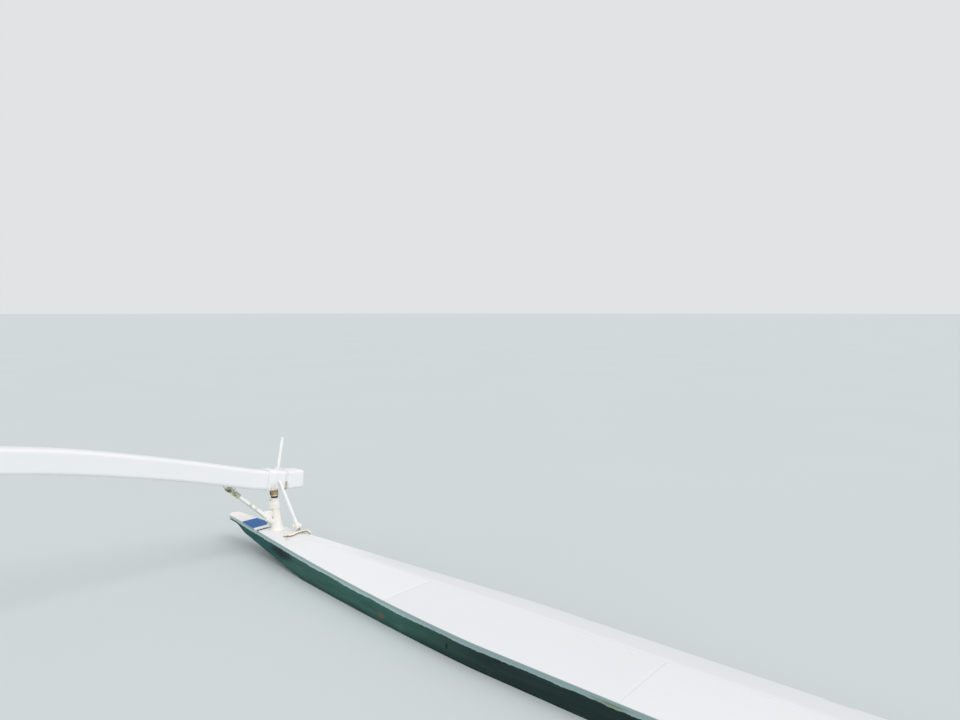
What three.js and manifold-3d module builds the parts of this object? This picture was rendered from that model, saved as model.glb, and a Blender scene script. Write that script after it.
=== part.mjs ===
// The outrigger of an outrigger canoe: a decked float, two arched booms that reach in over the hull,
// and the posts, braces, pegs and rope lashings that hold each boom above the float.
// Millimetres. +X is forward, +Y is outboard, +Z is up. The origin is on the waterline,
// midway between the float's tips, in its middle plane.
import * as THREE from "three";
import { mergeVertices } from "three/addons/utils/BufferGeometryUtils.js";
import Module from "manifold-3d";

const wasm = await Module();
wasm.setup();

// Float, plan and profile. "Reach" is the distance in from the nearer tip.
const FLOAT_LENGTH = 6340;
const HALF_LENGTH = FLOAT_LENGTH / 2;
const HALF_BEAM = 218;
const TIP_HALF_BEAM = 20.4;
const TAPER_REACH = 2030;
const TAPER_POWER = 1.33;
const TIP_ROUND = 34;
const BLUNTNESS = 13.1;
const BLUNT_REACH = 240;
const BLUNT_POWER = 1.2;
const FREEBOARD = 98;
const SHEER_RISE = 50;
const SHEER_REACH = 2050;
const TIP_UNDERSIDE = 106.6;
const RAKE = 0.128;
// The stem thins to a plate ahead of the raked underside
const STEM_DEPTH = 26;
const STEM_THIN_REACH = 90;
const STEM_FULL_REACH = 210;
const CHINE_DEPTH = 58;
const KEEL_DROP = 56;
const KEEL_SHARE = 0.36;

// Deck: plywood panels from the inboard edge to a sloping board along the outboard edge
const DECK_PLY = 12;
const NOSE_REACH = 660;
const END_PANEL_REACH = 1490;
const PANEL_LENGTH = 1120;
const BEVEL_SHARE = 0.51;
const BEVEL_DROP = 2;
const BOARD_LIP = 6;
const BEVEL_START_REACH = 780;
const BEVEL_FULL_REACH = 1180;
const GAP = 0.3;

// Places along the float where its sections are drawn, as reaches
const STATION_REACHES = [
  0, 2, 7, 15, 24, 34, 60, 90, 120, 150, 180, 210, 300, 470, 660, 780, 980, 1180, 1490, 1750, 2030, 2610,
];

// Booms
const BOOM_REACH = 410;
const BOOM_DEPTH = 99;
const BOOM_ROOT_DEPTH = 106;
const BOOM_DEEPENS = { from: -560, to: -1000 };
const BOOM_WIDTH = 96;
const BOOM_EDGE_ROUND = 16;
const BOOM_END_ROUND = 17;
const BOOM_OUTER_END = 168;
const BOOM_INNER_END = -2500;
const BOOM_SEAT_START = -1760;
const BOOM_SEAT_HEIGHT = 760;
const BOOM_STEPS = 24;
// Middle line of a boom, outboard end first: [outboard, height]
const BOOM_LINE = [
  [BOOM_OUTER_END, 383.5],
  [110, 390],
  [0, 404],
  [-110, 426],
  [-240, 463.5],
  [-460, 528.5],
  [-720, 598],
  [-980, 660.5],
  [-1220, 706],
  [-1480, 742.5],
  [-1690, 759],
  [BOOM_SEAT_START, BOOM_SEAT_HEIGHT],
];

// Post under a boom's outboard end, leaning inboard from its foot to its neck
const POST_OUT = 8;
const POST_LEAN = 0.08;
const POST_NECK_RADIUS = 15.8;
const POST_SINK = 4;
const POST_SIDES = 28;
// Profile of the post: [radius, height]
const POST_PROFILE = [
  [40, 127],
  [35.5, 132],
  [30, 145],
  [25.5, 170],
  [22.8, 200],
  [20.3, 243],
  [17.6, 290],
  [POST_NECK_RADIUS, 303],
];
const TAPE_BOTTOM = 305;
const TAPE_HEIGHT = 11;
const TAPE_THICKNESS = 2;
const HEAD_LASHING_RADIUS = 23;
// Rope wound round the post between the tape and the brace
const BINDING = { bottom: 246, height: 52, outboard: 6, radius: 28 };

// Bands of rope round a boom, on either side of the post. The outer one also winds round the back peg.
const INNER_BAND = { outboard: -32, width: 52, thickness: 4 };
const OUTER_BAND = { outboard: 54, width: 18, thickness: 4 };
const PEG_SLEEVE = { from: 250, length: 32, thickness: 4 };
const BAND_SLACK = 2.6;

// Brace from the post up to the boom's underside
const BRACE_FOOT = [-2, 173];
const BRACE_HEAD = [-288, 433];
const BRACE_FOOT_RADIUS = 12;
const BRACE_HEAD_RADIUS = 9.5;
const BRACE_KNOT = { start: 38, length: 24, radius: 17 };
const BRACE_WRAP = { length: 122, radius: 18 };

// Two crossed pegs, one on each face of the boom
const PEG_RADIUS = 8.5;
const BACK_PEG_FOOT = [7, 124];
const BACK_PEG_TIP = [102, 609];
const FRONT_PEG_HEAD = [4, 406];
const FRONT_PEG_FOOT = [86, 124];
const FRONT_PEG_SPREAD = 53;
const PEG_KNOT = { start: 16, length: 38, radius: 18 };

// Rope over the nose deck, from a hole out to the outboard edge: [towards midships, outboard, above deck]
const ROPE_RADIUS = 6;
const ROPE_HOLE_RADIUS = 11;
const ROPE_HOLE = [131, -14];
const ROPE_ROUTE = [
  [131, -16, -10],
  [132, -14, 0],
  [137, -11, 6],
  [145, -5, 7.5],
  [151, 6, 7],
  [147, 22, 6.5],
  [141, 38, 6.5],
  [137, 58, 6.5],
  [140, 71, 7],
  [147, 82, 9],
  [160, 90, 12],
  [178, 95, 13],
];
const ROPE_OVER_EDGE = 9;
const ROPE_TAIL = 46;
const ROPE_SIDES = 10;
const EDGE_CLEARANCE = 1.006;

const clamp01 = (value) => Math.min(1, Math.max(0, value));
const reachOf = (x) => HALF_LENGTH - Math.abs(x);

// Half the float's beam at a reach, with the very tip rounded in plan
function halfBeam(reach) {
  const inward = clamp01(1 - reach / TAPER_REACH);
  const width = TIP_HALF_BEAM + (HALF_BEAM - TIP_HALF_BEAM) * (1 - inward ** TAPER_POWER);
  const blunt = BLUNTNESS * clamp01(1 - reach / BLUNT_REACH) ** BLUNT_POWER;
  const round = clamp01(1 - reach / TIP_ROUND);
  return (width + blunt) * (0.2 + 0.8 * Math.sqrt(1 - round * round));
}

function deckHeight(reach) {
  return FREEBOARD + SHEER_RISE * clamp01(1 - reach / SHEER_REACH) ** 2;
}

function chineHeight(reach) {
  const raked = Math.max(-CHINE_DEPTH, TIP_UNDERSIDE - RAKE * reach);
  const thin = deckHeight(reach) - STEM_DEPTH;
  return THREE.MathUtils.lerp(thin, raked, THREE.MathUtils.smoothstep(reach, STEM_THIN_REACH, STEM_FULL_REACH));
}

function keelHeight(reach) {
  return chineHeight(reach) - (KEEL_DROP * halfBeam(reach)) / HALF_BEAM;
}

// Where the sloping outboard board starts, and how far it falls at the edge
const bevelStart = (reach) => halfBeam(reach) * BEVEL_SHARE;
const bevelDrop = (reach) =>
  ((BEVEL_DROP * halfBeam(reach)) / HALF_BEAM) * clamp01((reach - BEVEL_START_REACH) / (BEVEL_FULL_REACH - BEVEL_START_REACH));

// Geometry helpers

function volumeOf(geometry) {
  const position = geometry.getAttribute("position");
  const index = geometry.index;
  const corner = [new THREE.Vector3(), new THREE.Vector3(), new THREE.Vector3()];
  let sixfold = 0;
  for (let i = 0; i < index.count; i += 3) {
    corner.forEach((point, k) => point.fromBufferAttribute(position, index.getX(i + k)));
    sixfold += corner[0].dot(corner[1].clone().cross(corner[2]));
  }
  return sixfold / 6;
}

// One closed body with shared vertices and its faces turned outwards
function closedBody(geometry) {
  const bare = geometry.clone();
  for (const name of Object.keys(bare.attributes)) {
    if (name !== "position") bare.deleteAttribute(name);
  }
  const body = mergeVertices(bare, 1e-3);
  if (volumeOf(body) < 0) {
    body.setIndex(Array.from(body.index.array).reverse());
  }
  return body;
}

function toSolid(geometry) {
  const body = closedBody(geometry);
  return new wasm.Manifold(
    new wasm.Mesh({
      numProp: 3,
      vertProperties: new Float32Array(body.attributes.position.array),
      triVerts: new Uint32Array(body.index.array),
    }),
  );
}

function fromSolid(solid) {
  const mesh = solid.getMesh();
  const geometry = new THREE.BufferGeometry();
  geometry.setAttribute("position", new THREE.BufferAttribute(mesh.vertProperties, 3));
  geometry.setIndex(new THREE.BufferAttribute(mesh.triVerts, 1));
  return geometry;
}

const cutAway = (geometry, tool) => fromSolid(toSolid(geometry).subtract(toSolid(tool)));
const joined = (geometry, other) => fromSolid(toSolid(geometry).add(toSolid(other)));
const raised = (geometry, distance) => geometry.clone().translate(0, 0, distance);

// A body through sections, each a list of [y, z] at its own x
function loft(places, sectionAt) {
  const rings = places.map((x) => sectionAt(x).map(([y, z]) => new THREE.Vector3(x, y, z)));
  const count = rings[0].length;
  const points = rings.flat();
  const faces = [];
  for (let r = 0; r + 1 < rings.length; r++) {
    for (let k = 0; k < count; k++) {
      const a = r * count + k;
      const b = r * count + ((k + 1) % count);
      faces.push(a, a + count, b, b, a + count, b + count);
    }
  }
  const outline = sectionAt(places[0]).map(([y, z]) => new THREE.Vector2(y, z));
  const last = (rings.length - 1) * count;
  for (const [a, b, c] of THREE.ShapeUtils.triangulateShape(outline, [])) {
    faces.push(a, b, c, last + a, last + c, last + b);
  }
  const geometry = new THREE.BufferGeometry();
  geometry.setAttribute(
    "position",
    new THREE.Float32BufferAttribute(points.flatMap((p) => p.toArray()), 3),
  );
  geometry.setIndex(faces);
  return geometry;
}

// Section places between two x values, from the stations at both ends of the float
function placesBetween(from, to) {
  const stations = STATION_REACHES.flatMap((reach) => [reach - HALF_LENGTH, HALF_LENGTH - reach]);
  const inside = stations.filter((x) => x > from + 1 && x < to - 1);
  return [from, ...inside.sort((a, b) => a - b), to];
}

const floatPiece = (from, to, section) =>
  loft(placesBetween(from, to), (x) => section(reachOf(x)));

// A round rod between two points, with its own radius at each end
function rod(start, end, startRadius, endRadius = startRadius, sides = 16) {
  const length = start.distanceTo(end);
  const geometry = new THREE.CylinderGeometry(endRadius, startRadius, length, sides, 1);
  geometry.translate(0, length / 2, 0);
  return alongLine(geometry, start, end);
}

// A plain hollow collar on the line from start to end
function collar(start, end, from, length, inner, outer, sides = 16) {
  const bulge = (outer - inner) * 0.35;
  const profile = [
    [inner, 0],
    [outer - bulge, 0],
    [outer, length * 0.25],
    [outer, length * 0.75],
    [outer - bulge, length],
    [inner, length],
    [inner, 0],
  ].map(([radius, along]) => new THREE.Vector2(radius, along + from));
  return alongLine(new THREE.LatheGeometry(profile, sides), start, end);
}

function alongLine(geometry, start, end) {
  const direction = end.clone().sub(start).normalize();
  const turn = new THREE.Quaternion().setFromUnitVectors(new THREE.Vector3(0, 1, 0), direction);
  return geometry.applyQuaternion(turn).translate(start.x, start.y, start.z);
}

// Turns a shape drawn in (outboard, height) and extruded along z so that it runs along X
function acrossShip(geometry, x) {
  const turn = new THREE.Matrix4().makeBasis(
    new THREE.Vector3(0, 1, 0),
    new THREE.Vector3(0, 0, 1),
    new THREE.Vector3(1, 0, 0),
  );
  return geometry.applyMatrix4(turn).translate(x, 0, 0);
}

// Boom shape

const boomCurve = new THREE.SplineCurve(BOOM_LINE.map(([y, z]) => new THREE.Vector2(y, z)));

// A point of the middle line and the direction along it, at an outboard distance
function boomAt(outboard) {
  let low = 0;
  let high = 1;
  for (let i = 0; i < 40; i++) {
    const middle = (low + high) / 2;
    if (boomCurve.getPoint(middle).x > outboard) low = middle;
    else high = middle;
  }
  const along = boomCurve.getTangent(low).negate();
  return { point: boomCurve.getPoint(low), along, up: new THREE.Vector2(-along.y, along.x) };
}

// The boom is deeper towards its inboard end
function boomDepth(outboard) {
  const share = clamp01((BOOM_DEEPENS.from - outboard) / (BOOM_DEEPENS.from - BOOM_DEEPENS.to));
  return THREE.MathUtils.lerp(BOOM_DEPTH, BOOM_ROOT_DEPTH, share);
}

// Height of the boom's underside at an outboard distance
function boomUnderside(outboard) {
  const { point, along } = boomAt(outboard);
  return point.y - boomDepth(outboard) / 2 / along.x;
}

function cornerArc(centre, from, to, radius, steps = 4) {
  const points = [];
  for (let i = 0; i <= steps; i++) {
    const angle = from + ((to - from) * i) / steps;
    points.push(new THREE.Vector2(Math.cos(angle), Math.sin(angle)).multiplyScalar(radius).add(centre));
  }
  return points;
}

function boomOutline() {
  const round = BOOM_END_ROUND;
  const upper = [];
  const lower = [];
  for (let i = 0; i <= BOOM_STEPS; i++) {
    const outboard = BOOM_OUTER_END - round - ((BOOM_OUTER_END - round - BOOM_SEAT_START) * i) / BOOM_STEPS;
    const { point, up } = boomAt(outboard);
    const square = i === BOOM_STEPS ? new THREE.Vector2(0, 1) : up;
    const half = boomDepth(outboard) / 2;
    upper.push(point.clone().addScaledVector(square, half));
    lower.push(point.clone().addScaledVector(square, -half));
  }
  const end = boomAt(BOOM_OUTER_END);
  const tilt = Math.atan2(end.along.y, end.along.x);
  const endCentre = end.point.clone().addScaledVector(end.along, -round);
  const endCorner = (side) =>
    endCentre.clone().addScaledVector(end.up, side * (BOOM_DEPTH / 2 - round));
  const innerCorner = (side) =>
    new THREE.Vector2(BOOM_INNER_END + round, BOOM_SEAT_HEIGHT + side * (BOOM_ROOT_DEPTH / 2 - round));
  const right = Math.PI / 2;
  return [
    ...cornerArc(endCorner(-1), tilt - right, tilt, round),
    ...cornerArc(endCorner(1), tilt, tilt + right, round),
    ...upper.slice(1),
    ...cornerArc(innerCorner(1), right, 2 * right, round),
    ...cornerArc(innerCorner(-1), 2 * right, 3 * right, round),
    ...lower.slice(1).reverse(),
  ];
}

function boomGeometry(x) {
  const geometry = new THREE.ExtrudeGeometry(new THREE.Shape(boomOutline()), {
    depth: BOOM_WIDTH - 2 * BOOM_EDGE_ROUND,
    bevelEnabled: true,
    bevelThickness: BOOM_EDGE_ROUND,
    bevelSize: BOOM_EDGE_ROUND,
    bevelOffset: -BOOM_EDGE_ROUND,
    bevelSegments: 3,
  });
  geometry.translate(0, 0, BOOM_EDGE_ROUND - BOOM_WIDTH / 2);
  return acrossShip(geometry, x);
}

// A rectangle with round corners, centred on the origin
function roundedRectangle(width, height, radius) {
  const shape = new THREE.Path();
  const x = width / 2;
  const y = height / 2;
  const corners = [
    [x - radius, y - radius, 0],
    [radius - x, y - radius, 1],
    [radius - x, radius - y, 2],
    [x - radius, radius - y, 3],
  ];
  for (const [cx, cy, quarter] of corners) {
    const from = (quarter * Math.PI) / 2;
    shape.absarc(cx, cy, radius, from, from + Math.PI / 2, false);
  }
  return shape.getPoints(3);
}

// A band of rope round the boom, square to its middle line
function boomBand(x, { outboard, width, thickness }) {
  const innerWidth = BOOM_WIDTH + 2 * GAP;
  const innerDepth = boomDepth(outboard) + BAND_SLACK;
  const outer = roundedRectangle(
    innerWidth + 2 * thickness,
    innerDepth + 2 * thickness,
    BOOM_EDGE_ROUND + thickness,
  );
  const inner = roundedRectangle(innerWidth, innerDepth, BOOM_EDGE_ROUND - 2);
  const shape = new THREE.Shape(outer);
  shape.holes.push(new THREE.Path(inner));
  const geometry = new THREE.ExtrudeGeometry(shape, { depth: width, bevelEnabled: false });
  geometry.translate(0, 0, -width / 2);
  const { point, along, up } = boomAt(outboard);
  const turn = new THREE.Matrix4().makeBasis(
    new THREE.Vector3(-1, 0, 0),
    new THREE.Vector3(0, up.x, up.y),
    new THREE.Vector3(0, along.x, along.y),
  );
  return geometry.applyMatrix4(turn).translate(x, point.x, point.y);
}

// Float sections, as lists of [y, z]

function noseBlockSection(reach) {
  const w = halfBeam(reach);
  const top = deckHeight(reach) - DECK_PLY - GAP;
  const chine = chineHeight(reach);
  const keel = chine - (KEEL_DROP * w) / HALF_BEAM;
  const k = w * KEEL_SHARE;
  return [[-w, top], [-w, chine], [-k, keel], [k, keel], [w, chine], [w, top]];
}

function noseDeckSection(reach) {
  const w = halfBeam(reach);
  const top = deckHeight(reach);
  return [[-w, top], [-w, top - DECK_PLY], [w, top - DECK_PLY], [w, top]];
}

function hullBodySection(reach) {
  const w = halfBeam(reach);
  const top = deckHeight(reach) - DECK_PLY - GAP;
  const chine = chineHeight(reach);
  return [[-w, top], [-w, chine], [w, chine], [w, top]];
}

function bottomSection(reach) {
  const w = halfBeam(reach);
  const chine = chineHeight(reach) - GAP;
  const k = w * KEEL_SHARE;
  return [[-w, chine], [-k, keelHeight(reach)], [k, keelHeight(reach)], [w, chine]];
}

function deckPanelSection(reach) {
  const w = halfBeam(reach);
  const top = deckHeight(reach);
  const edge = bevelStart(reach) - GAP;
  return [[-w, top], [-w, top - DECK_PLY], [edge, top - DECK_PLY], [edge, top]];
}

function bevelBoardSection(reach) {
  const w = halfBeam(reach);
  const top = deckHeight(reach);
  const start = bevelStart(reach);
  const drop = bevelDrop(reach);
  const edge = w + (BOARD_LIP * w) / HALF_BEAM;
  return [[start, top], [start, top - DECK_PLY], [edge, top - DECK_PLY - drop], [edge, top - drop]];
}

// Finishes
const finish = (color, roughness, metalness = 0) =>
  new THREE.MeshStandardMaterial({ color, roughness, metalness });
const finishes = {
  enamel: () => finish(0xe9eaec, 0.45),
  bottomPaint: () => finish(0x2b3a35, 0.6),
  rope: () => finish(0xb09a72, 0.9),
  paintedRope: () => finish(0xddd9cc, 0.85),
  tape: () => finish(0x14130f, 0.5),
};

const outrigger = new THREE.Group();
outrigger.name = "outrigger";

function add(name, geometry, finishName) {
  const flat = closedBody(geometry).toNonIndexed();
  flat.computeVertexNormals();
  const mesh = new THREE.Mesh(flat, finishes[finishName]());
  mesh.name = name;
  outrigger.add(mesh);
}

// Float: nose blocks and their decks, hull body, bottom, deck panels and the sloping board

const noseX = HALF_LENGTH - NOSE_REACH;
const ends = [
  { end: "aft", side: -1 },
  { end: "fore", side: 1 },
];

const noseDecks = {};
for (const { end, side } of ends) {
  const [from, to] = side < 0 ? [-HALF_LENGTH, -noseX - GAP] : [noseX + GAP, HALF_LENGTH];
  add(`nose_block_${end}`, floatPiece(from, to, noseBlockSection), "bottomPaint");
  const hole = new THREE.CylinderGeometry(ROPE_HOLE_RADIUS, ROPE_HOLE_RADIUS, 4 * DECK_PLY, 16);
  hole.rotateX(Math.PI / 2);
  const holeReach = BOOM_REACH + ROPE_HOLE[0];
  hole.translate(side * (HALF_LENGTH - holeReach), ROPE_HOLE[1], deckHeight(holeReach));
  noseDecks[end] = cutAway(floatPiece(from, to, noseDeckSection), hole);
  add(`nose_deck_${end}`, noseDecks[end], "enamel");
}

const outboardBoard = floatPiece(-noseX, noseX, bevelBoardSection);
const hullBody = floatPiece(-noseX, noseX, hullBodySection);
add("hull_body", cutAway(hullBody, raised(outboardBoard, -GAP)), "bottomPaint");
add("bottom_planking", floatPiece(-noseX, noseX, bottomSection), "bottomPaint");
add("outboard_deck_board", outboardBoard, "enamel");

const panelCount = Math.round((FLOAT_LENGTH - 2 * END_PANEL_REACH) / PANEL_LENGTH);
const seams = [-noseX];
for (let i = 0; i <= panelCount; i++) {
  seams.push(END_PANEL_REACH - HALF_LENGTH + i * PANEL_LENGTH);
}
seams.push(noseX);
for (let i = 0; i + 1 < seams.length; i++) {
  const from = seams[i] + (i ? GAP / 2 : 0);
  const to = seams[i + 1] - (i + 2 < seams.length ? GAP / 2 : 0);
  add(`deck_panel_${i + 1}`, floatPiece(from, to, deckPanelSection), "enamel");
}

// What joins a boom to the float, made alike at both ends

for (const { end, side } of ends) {
  const boomX = side * (HALF_LENGTH - BOOM_REACH);
  // "towards" is measured from the boom's middle plane towards midships
  const place = (towards, outboard, height) =>
    new THREE.Vector3(boomX - side * towards, outboard, height);
  const deck = floatPiece(
    side < 0 ? -HALF_LENGTH : noseX,
    side < 0 ? -noseX : HALF_LENGTH,
    noseBlockSection,
  );
  const seat = raised(deck, DECK_PLY + 2 * GAP);
  const deckAt = (towards) => deckHeight(BOOM_REACH + towards);

  add(`boom_${end}`, boomGeometry(boomX), "enamel");

  const neckTop = boomUnderside(POST_OUT + POST_NECK_RADIUS) - 2 * GAP;
  const postProfile = (growth) =>
    [
      [0, POST_PROFILE[0][1] - POST_SINK],
      [POST_PROFILE[0][0] + growth, POST_PROFILE[0][1] - POST_SINK],
      ...POST_PROFILE.map(([radius, height]) => [radius + growth, height]),
      [POST_NECK_RADIUS + growth, neckTop],
      [0, neckTop],
    ].map(([radius, height]) => new THREE.Vector2(radius, height));
  // Moves a shape from the upright axis at the origin to the post's leaning axis
  const onPost = (geometry) =>
    geometry
      .applyMatrix4(new THREE.Matrix4().makeShear(0, 0, 0, 0, 0, -POST_LEAN))
      .translate(boomX, POST_OUT + POST_LEAN * TAPE_BOTTOM, 0);
  const postBody = (growth) =>
    onPost(new THREE.LatheGeometry(postProfile(growth), POST_SIDES).rotateX(Math.PI / 2));
  add(`post_${end}`, cutAway(postBody(0), seat), "enamel");

  const upright = [new THREE.Vector3(0, 0, 0), new THREE.Vector3(0, 0, 1)];
  const neckInner = POST_NECK_RADIUS + GAP;
  const tapeOuter = neckInner + TAPE_THICKNESS;
  const tape = collar(...upright, TAPE_BOTTOM, TAPE_HEIGHT, neckInner, tapeOuter, POST_SIDES);
  add(`post_tape_${end}`, onPost(tape), "tape");
  const wrapStart = TAPE_BOTTOM + TAPE_HEIGHT + GAP;
  const wrapLength = boomUnderside(POST_OUT + HEAD_LASHING_RADIUS) - 2 * GAP - wrapStart;
  const headLashing = collar(
    ...upright,
    wrapStart,
    wrapLength,
    neckInner,
    HEAD_LASHING_RADIUS,
    POST_SIDES,
  );
  add(`post_head_lashing_${end}`, onPost(headLashing), "rope");
  const binding = collar(
    ...upright,
    BINDING.bottom,
    BINDING.height,
    POST_NECK_RADIUS,
    BINDING.radius,
    POST_SIDES,
  ).translate(boomX, BINDING.outboard, 0);
  add(`post_binding_${end}`, cutAway(binding, postBody(GAP)), "paintedRope");

  const innerBand = cutAway(boomBand(boomX, INNER_BAND), postBody(GAP));
  add(`inner_boom_lashing_${end}`, innerBand, "paintedRope");

  // Brace, its knot by the post and the wrapping at its head
  const braceFoot = place(0, ...BRACE_FOOT);
  const braceHead = place(0, ...BRACE_HEAD);
  const braceLength = braceFoot.distanceTo(braceHead);
  const brace = rod(braceFoot, braceHead, BRACE_FOOT_RADIUS, BRACE_HEAD_RADIUS);
  const boomKeepOut = raised(boomGeometry(boomX), -GAP);
  add(`brace_${end}`, cutAway(cutAway(brace, postBody(GAP)), boomKeepOut), "enamel");
  const knot = collar(
    braceFoot,
    braceHead,
    BRACE_KNOT.start,
    BRACE_KNOT.length,
    BRACE_FOOT_RADIUS + GAP,
    BRACE_KNOT.radius,
  );
  add(`brace_foot_knot_${end}`, cutAway(knot, postBody(GAP)), "paintedRope");
  const wrapShare = BRACE_WRAP.length / braceLength;
  const braceWrap = collar(
    braceFoot,
    braceHead,
    braceLength - BRACE_WRAP.length,
    BRACE_WRAP.length,
    THREE.MathUtils.lerp(BRACE_HEAD_RADIUS, BRACE_FOOT_RADIUS, wrapShare) + GAP,
    BRACE_WRAP.radius,
  );
  add(`brace_head_lashing_${end}`, cutAway(braceWrap, boomKeepOut), "rope");

  // Pegs, each with a knot of rope round its foot
  const pegFace = BOOM_WIDTH / 2 + PEG_RADIUS + GAP;
  const backFoot = place(-pegFace, ...BACK_PEG_FOOT);
  const backTip = place(-pegFace, ...BACK_PEG_TIP);
  const frontFoot = place(pegFace + FRONT_PEG_SPREAD, ...FRONT_PEG_FOOT);
  const frontHead = place(pegFace, ...FRONT_PEG_HEAD);
  for (const [name, foot, head] of [
    ["back", backFoot, backTip],
    ["front", frontFoot, frontHead],
  ]) {
    const peg = cutAway(rod(foot, head, PEG_RADIUS), seat);
    add(`${name}_peg_${end}`, peg, "enamel");
    const { start, length, radius } = PEG_KNOT;
    const knotBody = collar(foot, head, start, length, PEG_RADIUS + GAP, radius);
    add(`${name}_peg_knot_${end}`, cutAway(cutAway(knotBody, seat), postBody(GAP)), "paintedRope");
  }

  const sleeve = collar(
    backFoot,
    backTip,
    PEG_SLEEVE.from,
    PEG_SLEEVE.length,
    PEG_RADIUS / 2,
    PEG_RADIUS + PEG_SLEEVE.thickness,
  );
  const boomSpace = new THREE.BoxGeometry(BOOM_WIDTH + 2 * GAP, BOOM_WIDTH, BOOM_WIDTH);
  boomSpace.translate(boomX, OUTER_BAND.outboard, boomAt(OUTER_BAND.outboard).point.y);
  const pegSpace = rod(backFoot, backTip, PEG_RADIUS + GAP);
  const outerBand = joined(boomBand(boomX, OUTER_BAND), cutAway(sleeve, boomSpace));
  add(`outer_boom_lashing_${end}`, cutAway(outerBand, pegSpace), "rope");

  // Rope from the hole in the nose deck, out over the deck's edge and down its side
  const edgeTowards = ROPE_ROUTE.at(-1)[0] + ROPE_OVER_EDGE;
  const edge = halfBeam(BOOM_REACH + edgeTowards + ROPE_RADIUS) + ROPE_RADIUS + 2 * GAP;
  const route = ROPE_ROUTE.map(([towards, outboard, above]) =>
    place(towards, outboard, deckAt(towards) + above),
  );
  route.push(place(edgeTowards, edge, deckAt(edgeTowards) - ROPE_OVER_EDGE));
  route.push(place(edgeTowards, edge + 1, deckAt(edgeTowards) - ROPE_TAIL));
  const ropeSection = new THREE.Shape(
    cornerArc(new THREE.Vector2(), 0, 2 * Math.PI, ROPE_RADIUS, ROPE_SIDES).slice(0, -1),
  );
  const rope = new THREE.ExtrudeGeometry(ropeSection, {
    steps: 30,
    bevelEnabled: false,
    extrudePath: new THREE.CatmullRomCurve3(route),
  });
  const deckKeepOut = raised(noseDecks[end].clone().scale(1, EDGE_CLEARANCE, 1), GAP);
  add(`deck_rope_${end}`, cutAway(rope, deckKeepOut), "rope");
}

export default outrigger;
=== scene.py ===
"""The outrigger of an outrigger canoe: a decked float and the two arched booms that hold it out.

Metres. +X is forward along the float, +Y is outboard and +Z is up. The water's surface is at Z = 0,
and the origin is midway between the float's tips, in its middle plane.
"""
import math

import bmesh
import bpy
from mathutils import Matrix, Vector, noise
from mathutils.geometry import interpolate_bezier


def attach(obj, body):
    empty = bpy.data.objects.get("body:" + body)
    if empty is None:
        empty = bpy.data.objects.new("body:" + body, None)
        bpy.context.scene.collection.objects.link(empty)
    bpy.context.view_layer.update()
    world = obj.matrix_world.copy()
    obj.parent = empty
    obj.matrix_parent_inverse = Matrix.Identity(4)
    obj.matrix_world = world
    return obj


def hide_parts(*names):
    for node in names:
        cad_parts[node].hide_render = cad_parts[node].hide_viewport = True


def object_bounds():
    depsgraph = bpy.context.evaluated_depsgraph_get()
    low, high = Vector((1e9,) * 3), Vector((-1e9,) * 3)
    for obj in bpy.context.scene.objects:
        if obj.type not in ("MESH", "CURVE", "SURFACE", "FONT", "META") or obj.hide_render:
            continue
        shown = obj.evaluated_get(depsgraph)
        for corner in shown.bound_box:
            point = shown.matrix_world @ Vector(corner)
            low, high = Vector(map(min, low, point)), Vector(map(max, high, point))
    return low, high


bl_info = {
    "name": "Canoe Outrigger",
    "version": (1, 0, 0),
    "blender": (4, 5, 0),
    "location": "3D View > Sidebar > Outrigger",
    "description": "Builds a painted timber outrigger: float, booms, posts, braces, pegs and lashings",
    "category": "Object",
}

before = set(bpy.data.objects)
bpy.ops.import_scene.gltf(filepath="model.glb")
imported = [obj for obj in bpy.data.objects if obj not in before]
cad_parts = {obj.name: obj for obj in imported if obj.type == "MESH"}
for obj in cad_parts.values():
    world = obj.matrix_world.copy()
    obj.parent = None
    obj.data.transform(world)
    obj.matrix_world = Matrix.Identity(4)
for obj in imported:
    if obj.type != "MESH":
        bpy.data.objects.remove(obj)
cad_low, cad_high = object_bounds()

TAU = 2 * math.pi
WHOLE = "root"

# Float, plan and profile. A reach is the distance in from the nearer tip
HALF_LENGTH = cad_high.x
HALF_BEAM = 0.218
TIP_HALF_BEAM = 0.0204
TAPER_REACH = 2.03
TAPER_POWER = 1.33
TIP_ROUND = 0.034
TIP_END_SHARE = 0.2
BLUNTNESS = 0.0131
BLUNT_REACH = 0.24
BLUNT_POWER = 1.2
FREEBOARD = 0.098
SHEER_RISE = 0.050
SHEER_REACH = 2.05
TIP_UNDERSIDE = 0.1066
RAKE = 0.128
# The stem thins to a plate ahead of the raked underside
STEM_DEPTH = 0.026
STEM_THIN_REACH = 0.09
STEM_FULL_REACH = 0.21
CHINE_DEPTH = 0.058
KEEL_DROP = 0.056
KEEL_SHARE = 0.36
DECK_PLY = 0.012
NOSE_REACH = 0.66
END_PANEL_REACH = 1.49
PANEL_LENGTH = 1.12
BEVEL_SHARE = 0.51
BEVEL_DROP = 0.002
BOARD_LIP = 0.006
BEVEL_START_REACH = 0.78
BEVEL_FULL_REACH = 1.18
GAP = 0.0003
NOSE_X = HALF_LENGTH - NOSE_REACH
# The outboard board overhangs the float's side by its lip
BOARD_EDGE = 1 + BOARD_LIP / HALF_BEAM
# Sections of the float lie close together over its rounded tips and evenly further in
TIP_REACHES = (0, 0.0008, 0.0022, 0.0045, 0.0075, 0.011, 0.0152, 0.020, 0.026, 0.034, 0.048, 0.065)
STATION_STEP = 0.025
STATION_CLEARANCE = 0.0006
SEAM_CLEARANCE = 0.001

# Booms
BOOM_REACH = 0.41
BOOM_WIDTH = 0.096
BOOM_DEPTH = 0.099
BOOM_ROOT_DEPTH = 0.106
# A boom gets deeper between these two places outboard
BOOM_DEEPENS = (-0.56, -1.0)
BOOM_INNER_END = -2.5
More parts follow.
